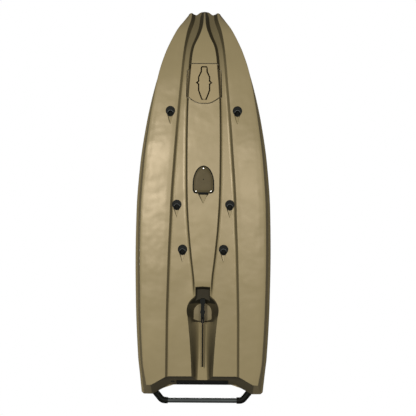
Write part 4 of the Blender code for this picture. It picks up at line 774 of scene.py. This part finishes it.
SEAT_LEAN = 12
PAD_SHRINK, PAD_LOWERED = 0.955, 0.80
PAD_GRID = 0.0055
PAD_PRESSURE, PAD_STEPS = 4.0, 20
PAD_SWELL = 0.022
PAD_OVER = (0.002, 0.006)
SEAMS, SEAM_DEPTH, SEAM_WIDTH = (-0.36, 0.36), 0.008, 0.0055
RIM_SEAM, RIM_DEPTH, RIM_WIDTH = 0.84, 0.0045, 0.0045
WELT, WELT_WIDTH = 0.0022, 0.0032


def swollen(pad):
    """The pad blown up a little as cloth."""
    only(pad)
    cloth = pad.modifiers.new("cloth", "CLOTH")
    cloth.settings.use_pressure = True
    cloth.settings.uniform_pressure_force = PAD_PRESSURE
    cloth.settings.quality = 5
    cloth.settings.effector_weights.gravity = 0.0
    for step in range(1, PAD_STEPS + 1):
        bpy.context.scene.frame_set(step)
    bpy.ops.object.modifier_apply(modifier=cloth.name)
    bpy.context.scene.frame_set(1)


def bell(value, width):
    return math.exp(-((value / width) ** 2))


def make_cushion(node, body, place):
    """A stuffed pad: swollen as cloth from a slightly smaller form, then sewn across and round its rim."""
    pad = copy_of(node, f"{node}_sewn")
    outward(pad, 0.0001)
    pad.data.transform(place.inverted())
    points = [vertex.co for vertex in pad.data.vertices]
    low, high = [Vector([pick(point[i] for point in points) for i in range(3)]) for pick in (min, max)]
    middle = (low + high) / 2
    half_x, half_y = (high.x - low.x) / 2, (high.y - low.y) / 2
    deep = high.z - low.z
    for vertex in pad.data.vertices:
        vertex.co.x = middle.x + (vertex.co.x - middle.x) * PAD_SHRINK
        vertex.co.y = middle.y + (vertex.co.y - middle.y) * PAD_SHRINK
        vertex.co.z = low.z + (vertex.co.z - low.z) * PAD_LOWERED
    apply(pad, "REMESH", mode="VOXEL", voxel_size=PAD_GRID)
    rest = [vertex.co.copy() for vertex in pad.data.vertices]
    swollen(pad)
    over, above = PAD_OVER
    for vertex, start in zip(pad.data.vertices, rest):
        moved = vertex.co - start
        if moved.length > PAD_SWELL:
            vertex.co = start + moved.normalized() * PAD_SWELL
        vertex.co.x = clamp(vertex.co.x, low.x - over, high.x + over)
        vertex.co.y = clamp(vertex.co.y, low.y - over, high.y + over)
        vertex.co.z = clamp(vertex.co.z, low.z, high.z + above)
    apply(pad, "SUBSURF", levels=1, render_levels=1)
    for vertex in pad.data.vertices:
        across, along = (vertex.co.x - middle.x) / half_x, (vertex.co.y - middle.y) / half_y
        edge = max(abs(across), abs(along))
        upper = clamp(((vertex.co.z - low.z) / deep - 0.45) / 0.25)
        inside = clamp((0.97 - edge) / 0.12)
        for line in SEAMS:
            vertex.co.z -= SEAM_DEPTH * upper * inside * bell((along - line) * half_y, SEAM_WIDTH)
        vertex.co.z -= RIM_DEPTH * upper * bell((RIM_SEAM - edge) * min(half_x, half_y), RIM_WIDTH)
        welt = WELT * bell(vertex.co.z - low.z - 0.5 * deep, WELT_WIDTH)
        outer = clamp((edge - 0.86) / 0.06)
        if edge > 0:
            vertex.co.x += welt * outer * across / edge
            vertex.co.y += welt * outer * along / edge
    pad.data.transform(place)
    finish(pad, body, node, 180)


def make_cushions():
    seat_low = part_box("seat_cushion")[0].z
    make_cushion("seat_cushion", "hull", Matrix.Translation((0, 0, seat_low)))
    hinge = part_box("seat_hinge_pin")
    axis = (hinge[0] + hinge[1]) / 2
    lean = Matrix.Translation((0, axis.y, axis.z)) @ Matrix.Rotation(math.radians(SEAT_LEAN), 4, "X")
    facing = Matrix.Rotation(math.radians(-90), 4, "X")
    make_cushion("seat_back_cushion", "seat_back", lean @ facing)


# Finishes

def tone(red, green, blue):
    """A colour given as it looks, from 0 to 255, as the shader wants it."""
    def linear(value):
        value /= 255
        return value / 12.92 if value <= 0.04045 else ((value + 0.055) / 1.055) ** 2.4
    return linear(red), linear(green), linear(blue), 1.0


def group(name, inputs, outputs):
    """An empty node group with its sockets, and its input and output nodes."""
    tree = bpy.data.node_groups.new(name, "ShaderNodeTree")
    for label, value in inputs.items():
        kind = "NodeSocketFloat" if isinstance(value, float) else "NodeSocketColor"
        tree.interface.new_socket(label, in_out="INPUT", socket_type=kind).default_value = value
    for label in outputs:
        kind = "NodeSocketColor" if label == "Color" else "NodeSocketFloat"
        tree.interface.new_socket(label, in_out="OUTPUT", socket_type=kind)
    return tree, tree.nodes.new("NodeGroupInput").outputs, tree.nodes.new("NodeGroupOutput")


def add(tree, kind, links=(), **values):
    """A node with its settings, its socket values and its links from other sockets."""
    made = tree.nodes.new(kind)
    for key, value in values.items():
        setattr(made, key, value)
    join(tree, made, links)
    return made


def join(tree, node, links):
    """Links and values for a node's inputs."""
    for socket, source in dict(links).items():
        if isinstance(source, bpy.types.NodeSocket):
            tree.links.new(source, node.inputs[socket])
        else:
            node.inputs[socket].default_value = source


def calc(tree, operation, *values):
    """One step of arithmetic on sockets or numbers."""
    return add(tree, "ShaderNodeMath", enumerate(values), operation=operation).outputs[0]


def span(tree, value, start, end, low=0.0, high=1.0):
    """A value between two ends made into one between low and high, and held there."""
    return add(tree, "ShaderNodeMapRange", {
        "Value": value, "From Min": start, "From Max": end, "To Min": low, "To Max": high,
    }).outputs[0]


def mixed(tree, mask, first, second):
    return add(tree, "ShaderNodeMix", {0: mask, 6: first, 7: second}, data_type="RGBA").outputs[2]


def noise(tree, vector, scale, detail, **settings):
    links = {"Vector": vector, "Scale": scale, "Detail": detail, **settings}
    return add(tree, "ShaderNodeTexNoise", links).outputs["Fac"]


def own_place(tree):
    return add(tree, "ShaderNodeTexCoord").outputs["Object"]


def drawn_out(tree, scale):
    """The piece's own place, stretched for streaks."""
    return add(tree, "ShaderNodeMapping", {"Vector": own_place(tree), "Scale": scale}).outputs[0]


def mottle_group():
    """Soft patches of lighter and darker colour, as a moulded skin has."""
    sockets = {"Colour": (0.5, 0.5, 0.5, 1), "Scale": 3.0, "Amount": 0.1}
    tree, given, out = group("mottle", sockets, ("Color",))
    cloud = noise(tree, own_place(tree), given["Scale"], 3.0, Roughness=0.55)
    shift = calc(tree, "MULTIPLY_ADD", span(tree, cloud, 0.3, 0.7, -1.0, 1.0), given["Amount"], 1.0)
    shade = add(tree, "ShaderNodeVectorMath", {0: given["Colour"], "Scale": shift}, operation="SCALE")
    join(tree, out, {"Color": shade.outputs[0]})
    return tree


def grain_group():
    """A fine moulded grain as height, and a little roughness that goes with it."""
    tree, given, out = group("grain", {"Scale": 400.0, "Rough": 0.4, "Spread": 0.08}, ("Height", "Roughness"))
    place = own_place(tree)
    patch = calc(tree, "SUBTRACT", noise(tree, place, 6.0, 2.0), 0.5)
    join(tree, out, {
        "Height": noise(tree, place, given["Scale"], 2.0),
        "Roughness": calc(tree, "MULTIPLY_ADD", patch, given["Spread"], given["Rough"]),
    })
    return tree


def scuff_group():
    """Fine streaks along the boat from sliding over sand and ramps, as a mask."""
    tree, given, out = group("scuffs", {"Amount": 0.3}, ("Mask",))
    streak = span(tree, noise(tree, drawn_out(tree, (190.0, 3.5, 60.0)), 1.0, 3.0), 0.62, 0.8)
    zone = span(tree, noise(tree, own_place(tree), 2.2, 1.0), 0.45, 0.65)
    join(tree, out, {"Mask": calc(tree, "MULTIPLY", calc(tree, "MULTIPLY", streak, zone), given["Amount"])})
    return tree


def painted_shade_group():
    """Painted shade as a mask, on the steep walls between the lobes, the transom, the bow's channel floors
    and the tunnel, with the steepness that makes steep walls duller.
    """
    tree, given, out = group("grime", {"Amount": 0.6}, ("Mask", "Steep"))
    place = add(tree, "ShaderNodeTexCoord").outputs
    x, y, z = add(tree, "ShaderNodeSeparateXYZ", {0: place["Object"]}).outputs
    lean_x, _, lean_z = add(tree, "ShaderNodeSeparateXYZ", {0: place["Normal"]}).outputs

    def between(value, *ends):
        return span(tree, value, *ends)

    def times(*values):
        product = values[0]
        for value in values[1:]:
            product = calc(tree, "MULTIPLY", product, value)
        return product

    def most(*values):
        highest = values[0]
        for value in values[1:]:
            highest = calc(tree, "MAXIMUM", highest, value)
        return highest

    across = calc(tree, "ABSOLUTE", x)
    sideways = between(calc(tree, "ABSOLUTE", lean_x), 0.2, 0.5)
    steep = times(between(calc(tree, "ABSOLUTE", lean_z), 0.94, 0.42), between(y, 1.0, 1.2, 1.0, sideways))

    # painted shade on the walls that face the keel, the keel's own, the transom, and the walls of whatever is
    # cut in
    forward = most(calc(tree, "ADD", y, -1.09), 0.0)
    keel = between(calc(tree, "MULTIPLY_ADD", forward, 0.25, across), 0.17, 0.15)
    inward = between(times(x, lean_x), 0.0, -0.02)
    behind = times(between(y, -1.36, -1.38), between(across, 0.42, 0.34))
    curve = calc(tree, "MULTIPLY_ADD", times(forward, forward), -0.77, z)
    recess = times(between(curve, 0.0306, 0.0320), between(y, 0.9, 0.7), between(across, 0.32, 0.28))
    walls = times(steep, most(inward, keel, behind, recess), between(y, -1.37, -1.33, 0.75, 1.0))

    # painted shade on the channels' floors under the bow, the neck ahead of the tunnel, and the shelf in the
    # tunnel's head
    channel = times(between(curve, 0.030, 0.044), between(y, 0.9, 1.3), between(across, 0.22, 0.17))
    neck = times(between(y, -0.775, -0.755), between(y, -0.57, -0.60),
                 between(z, 0.034, 0.05), between(across, 0.13, 0.12))
    shelf = times(between(z, 0.08, 0.13), between(across, 0.09, 0.08),
                  between(y, -0.904, -0.894), between(y, -0.5, -0.6))
    painted_shade_amount = times(most(walls, times(channel, 0.5)), given["Amount"])
    join(tree, out, {"Mask": most(painted_shade_amount, neck, times(shelf, 0.4)), "Steep": most(steep, neck)})
    return tree


def astern_group():
    """The after half of the boat as a mask: the blade is moulded darker than the cover."""
    tree, _, out = group("astern", {}, ("Mask",))
    y = add(tree, "ShaderNodeSeparateXYZ", {0: own_place(tree)}).outputs["Y"]
    join(tree, out, {"Mask": span(tree, y, -0.4, -0.5)})
    return tree


GROUPS = {}
WARM = (1.0, 0.82, 0.6, 1.0)
# the colour of the painted shade on steep walls and in hollows
PAINTED_SHADE_TONE = (46, 44, 33)


def place_group(tree, name, links=()):
    return add(tree, "ShaderNodeGroup", links, node_tree=GROUPS[name]).outputs


def blank(name, **settings):
    """A new material, its tree and its shader, with plain numbers on the shader's own sockets."""
    made = bpy.data.materials.new(name)
    made.use_nodes = True
    surface = made.node_tree.nodes["Principled BSDF"]
    join(made.node_tree, surface, {key.replace("_", " "): value for key, value in settings.items()})
    return made, made.node_tree, surface


def moulded(name, colour, rough=0.42, mottle=0.06, patch=3.0, grain=420.0, height=0.00006, spread=0.1,
            scuffs=0.0, wave=0.0, grime=0.0, aft=None, **settings):
    """Moulded plastic or rubber: a mottled colour, a fine grain and, where asked, scuffs, waviness, painted
    shade on steep walls and hollows, and a darker after end.
    """
    made, tree, surface = blank(name, **settings)
    paint = place_group(tree, "mottle", {"Colour": colour, "Scale": patch, "Amount": mottle})["Color"]
    grained = place_group(tree, "grain", {"Scale": grain, "Rough": rough, "Spread": spread})
    dull = grained["Roughness"]
    bump = {"Height": grained["Height"], "Distance": height}
    if wave:
        swell = noise(tree, own_place(tree), 5.5, 2.0, Roughness=0.4)
        bump["Normal"] = add(tree, "ShaderNodeBump", {"Height": swell, "Distance": wave}).outputs[0]
    if scuffs:
        pale = tuple(min(1, 1.5 * c) for c in colour[:3]) + (1,)
        paint = mixed(tree, place_group(tree, "scuffs", {"Amount": scuffs})["Mask"], paint, pale)
    # painted shade: a dark tone laid on steep walls and hollows, where shade falls; the steep walls are also
    # made duller
    if grime:
        shade_outputs = place_group(tree, "grime", {"Amount": grime})
        paint = mixed(tree, shade_outputs["Mask"], paint, tone(*PAINTED_SHADE_TONE))
        dull = calc(tree, "MULTIPLY_ADD", shade_outputs["Steep"], 0.35, dull)
    if aft:
        paint = mixed(tree, place_group(tree, "astern")["Mask"], paint, aft)
    normal = add(tree, "ShaderNodeBump", bump).outputs[0]
    join(tree, surface, {"Base Color": paint, "Roughness": dull, "Normal": normal})
    return made


def metal(name, colour, rough, drawn, **settings):
    """Bare or coated metal, with a fine drawn texture."""
    made, tree, surface = blank(name, **settings)
    mottled = place_group(tree, "mottle", {"Colour": colour, "Scale": 14.0, "Amount": 0.05})
    grained = place_group(tree, "grain", {"Scale": 900.0, "Rough": rough, "Spread": 0.15})
    lines = noise(tree, drawn_out(tree, (20.0, 900.0, 900.0)), 1.0, 2.0)
    join(tree, surface, {
        "Base Color": mottled["Color"],
        "Roughness": grained["Roughness"],
        "Normal": add(tree, "ShaderNodeBump", {"Height": lines, "Distance": drawn}).outputs[0],
    })
    return made


def woven(name, colour, thread):
    """A padded seat's woven cover: crossing threads as colour and height."""
    made, tree, surface = blank(name, Roughness=0.85)
    place = own_place(tree)
    threads = []
    for turn in (0, math.radians(90)):
        lying = add(tree, "ShaderNodeMapping", {"Vector": place, "Rotation": (0, 0, turn)})
        threads.append(add(tree, "ShaderNodeTexWave", {
            "Vector": lying.outputs[0], "Scale": thread, "Distortion": 0.15,
        }, bands_direction="X").outputs["Fac"])
    mesh = calc(tree, "MAXIMUM", *threads)
    mottled = place_group(tree, "mottle", {"Colour": colour, "Scale": 9.0, "Amount": 0.12})["Color"]
    dark = tuple(0.45 * c for c in colour[:3]) + (1,)
    join(tree, surface, {
        "Base Color": mixed(tree, mesh, dark, mottled),
        "Normal": add(tree, "ShaderNodeBump", {"Height": mesh, "Distance": 0.0004}).outputs[0],
    })
    return made


def make_finishes():
    GROUPS.update(mottle=mottle_group(), grain=grain_group(), scuffs=scuff_group(), grime=painted_shade_group(),
                  astern=astern_group())
    tan = tone(168, 152, 112)
    return {
        # the hull and the pod carry painted shade on their steep walls and in their hollows
        "hull_tan": moulded("hull_tan_skin", tan, 0.3, mottle=0.05, patch=2.6, scuffs=0.25, wave=0.006,
                            grime=0.88, Specular_Tint=WARM, Specular_IOR_Level=0.4),
        "deck_tan": moulded("deck_tan_skin", tan, 0.5, mottle=0.05, patch=3.5, grain=260, height=0.00022,
                            scuffs=0.12),
        "pod_tan": moulded("pod_tan_skin", tone(176, 158, 117), 0.5, mottle=0.04, patch=8, scuffs=0.1,
                           grime=0.72, Specular_Tint=WARM, Specular_IOR_Level=0.3),
        "cover_olive": moulded("cover_olive_skin", tone(86, 77, 50), 0.42, mottle=0.16, patch=11,
                               grain=300, spread=0.2, scuffs=0.4, aft=tone(20, 20, 16),
                               Specular_Tint=WARM, Specular_IOR_Level=0.22),
        "moulded_black": moulded("black_plastic", tone(22, 23, 18), 0.5, mottle=0.12, patch=16, scuffs=0.06,
                                 Specular_IOR_Level=0.1),
        "rubber": moulded("rubber_skin", tone(26, 27, 22), 0.7, mottle=0.1, patch=20, height=0.0001,
                          Specular_IOR_Level=0.12),
        "plug_olive": moulded("plug_olive_skin", tone(34, 34, 26), 0.5, mottle=0.1, patch=18,
                              Specular_IOR_Level=0.14),
        "foam": moulded("foam_skin", tone(222, 220, 212), 0.9, mottle=0.06, patch=60, grain=160,
                        height=0.0008),
        "nylon": moulded("nylon_skin", tone(26, 28, 24), 0.45, mottle=0.08, patch=14,
                         Specular_IOR_Level=0.16),
        "stainless_steel": metal("stainless_polish", tone(214, 212, 206), 0.22, 0.00001, Metallic=1.0),
        "tube_grey": metal("tube_coat", tone(66, 71, 68), 0.5, 0.00002, Metallic=0.2),
        "anodised_aluminium": metal("anodised_track", tone(128, 130, 132), 0.36, 0.00004, Metallic=1.0),
        "seat_fabric": woven("seat_cloth", tone(70, 72, 66), 90.0),
    }


# The studio: lamps, pale floor, white world and the camera under the boat

CAMERA_PLACE = (-0.037, 0, -8.7)
CAMERA_TILT = 0.38
LENS = 96.0
LAMP_TARGET = (0, 0, 0.15)
LAMPS = {
    "main_softbox": ((1.8, 0.75, -8.4), (1.0, 1.0), 305),
    "weak_softbox": ((-1.35, 0.35, -8.5), (0.7, 1.2), 130),
    "top_softbox": ((0.2, -0.3, 5.4), (2.4, 2.4), 320),
}
AMBIENT = 0.14
GLOSS_EDGE = 0.05
GLOSS_LEVELS = ((0.02, 0.30), (0.4, 0.08), (0.55, 0.22), (0.75, 0.30), (0.9, 0.05))


def make_camera():
    """Straight under the boat, the bow at the top and the starboard side on the left."""
    camera = linked("camera", bpy.data.cameras.new("camera"))
    camera.data.lens = LENS
    camera.data.clip_end = 100
    camera.matrix_world = (
        Matrix.Translation(CAMERA_PLACE) @ Matrix.Rotation(math.pi, 4, "Y")
        @ Matrix.Rotation(math.radians(CAMERA_TILT), 4, "Z")
    )
    bpy.context.scene.camera = camera


def make_lights():
    """Softboxes round the boat, all turned to its middle."""
    for name, (place, size, power) in LAMPS.items():
        lamp = linked(name, bpy.data.lights.new(name, "AREA"))
        lamp.data.shape = "RECTANGLE"
        lamp.data.size, lamp.data.size_y = size
        lamp.data.energy = power
        lamp.location = place
        lamp.rotation_euler = (Vector(LAMP_TARGET) - Vector(place)).to_track_quat("-Z", "Y").to_euler()


def make_world():
    """White to the camera, shades of grey to gloss by height, and a plain grey light on the rest."""
    world = bpy.data.worlds.new("studio")
    bpy.context.scene.world = world
    world.use_nodes = True
    tree = world.node_tree
    ambient = tree.nodes["Background"]
    join(tree, ambient, {"Color": (1, 1, 1, 1), "Strength": AMBIENT})
    seen = add(tree, "ShaderNodeBackground", {"Color": (1, 1, 1, 1), "Strength": 1.0})
    path = add(tree, "ShaderNodeLightPath").outputs
    place = add(tree, "ShaderNodeTexCoord").outputs["Generated"]
    height = add(tree, "ShaderNodeSeparateXYZ", {0: place}).outputs["Z"]
    level = add(tree, "ShaderNodeValToRGB", {"Fac": span(tree, height, -1.0, 1.0)})
    ramp = level.color_ramp.elements
    for at, shade in GLOSS_LEVELS:
        ramp.new(at).color = (shade, shade, shade, 1)
    for edge in (ramp[0], ramp[-1]):
        edge.color = (GLOSS_EDGE, GLOSS_EDGE, GLOSS_EDGE, 1)
    glossy = add(tree, "ShaderNodeBackground", {"Color": (1, 1, 1, 1), "Strength": level.outputs[0]})
    direct = calc(tree, "MAXIMUM", path["Is Camera Ray"], path["Is Transmission Ray"])
    gloss = add(tree, "ShaderNodeMixShader", {
        0: path["Is Glossy Ray"], 1: ambient.outputs[0], 2: glossy.outputs[0],
    })
    shown = add(tree, "ShaderNodeMixShader", {0: direct, 1: gloss.outputs[0], 2: seen.outputs[0]})
    join(tree, tree.nodes["World Output"], {"Surface": shown.outputs[0]})


def make_floor():
    """A pale floor that only the camera sees, and only from above, so that light passes to the hull."""
    fresh()
    bpy.ops.mesh.primitive_plane_add(size=40, location=(0, 0, -0.002))
    floor = named("floor")
    paper, tree, surface = blank("pale_paper", Base_Color=tone(236, 235, 232), Roughness=0.9,
                                 Specular_IOR_Level=0.1)
    clear = add(tree, "ShaderNodeBsdfTransparent")
    from_camera = add(tree, "ShaderNodeLightPath").outputs["Is Camera Ray"]
    below = add(tree, "ShaderNodeNewGeometry").outputs["Backfacing"]
    visible = calc(tree, "MULTIPLY", from_camera, calc(tree, "SUBTRACT", 1.0, below))
    shown = add(tree, "ShaderNodeMixShader", {0: visible, 1: clear.outputs[0], 2: surface.outputs[0]})
    join(tree, tree.nodes["Material Output"], {"Surface": shown.outputs[0]})
    floor.data.materials.append(paper)


def dress(finishes):
    """The finishes on every piece: new ones by their slot, carried-over ones by the record."""
    for row in frame["record"]["subparts"]:
        node = frame["nodes"][row["node"]]
        for slot in node.material_slots:
            slot.material = finishes[row["material_slot"]]
    for piece in list(bpy.data.objects):
        wanted = piece.get("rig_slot")
        if wanted and piece.type == "MESH" and not piece.data.materials:
            piece.data.materials.append(finishes[wanted])


def main():
    make_camera()
    make_lights()
    make_world()
    make_floor()
    finishes = make_finishes()
    make_hull()
    make_cover()
    make_scuppers()
    make_fittings()
    make_cushions()
    dress(finishes)
    bpy.context.scene.view_settings.view_transform = "Standard"


main()
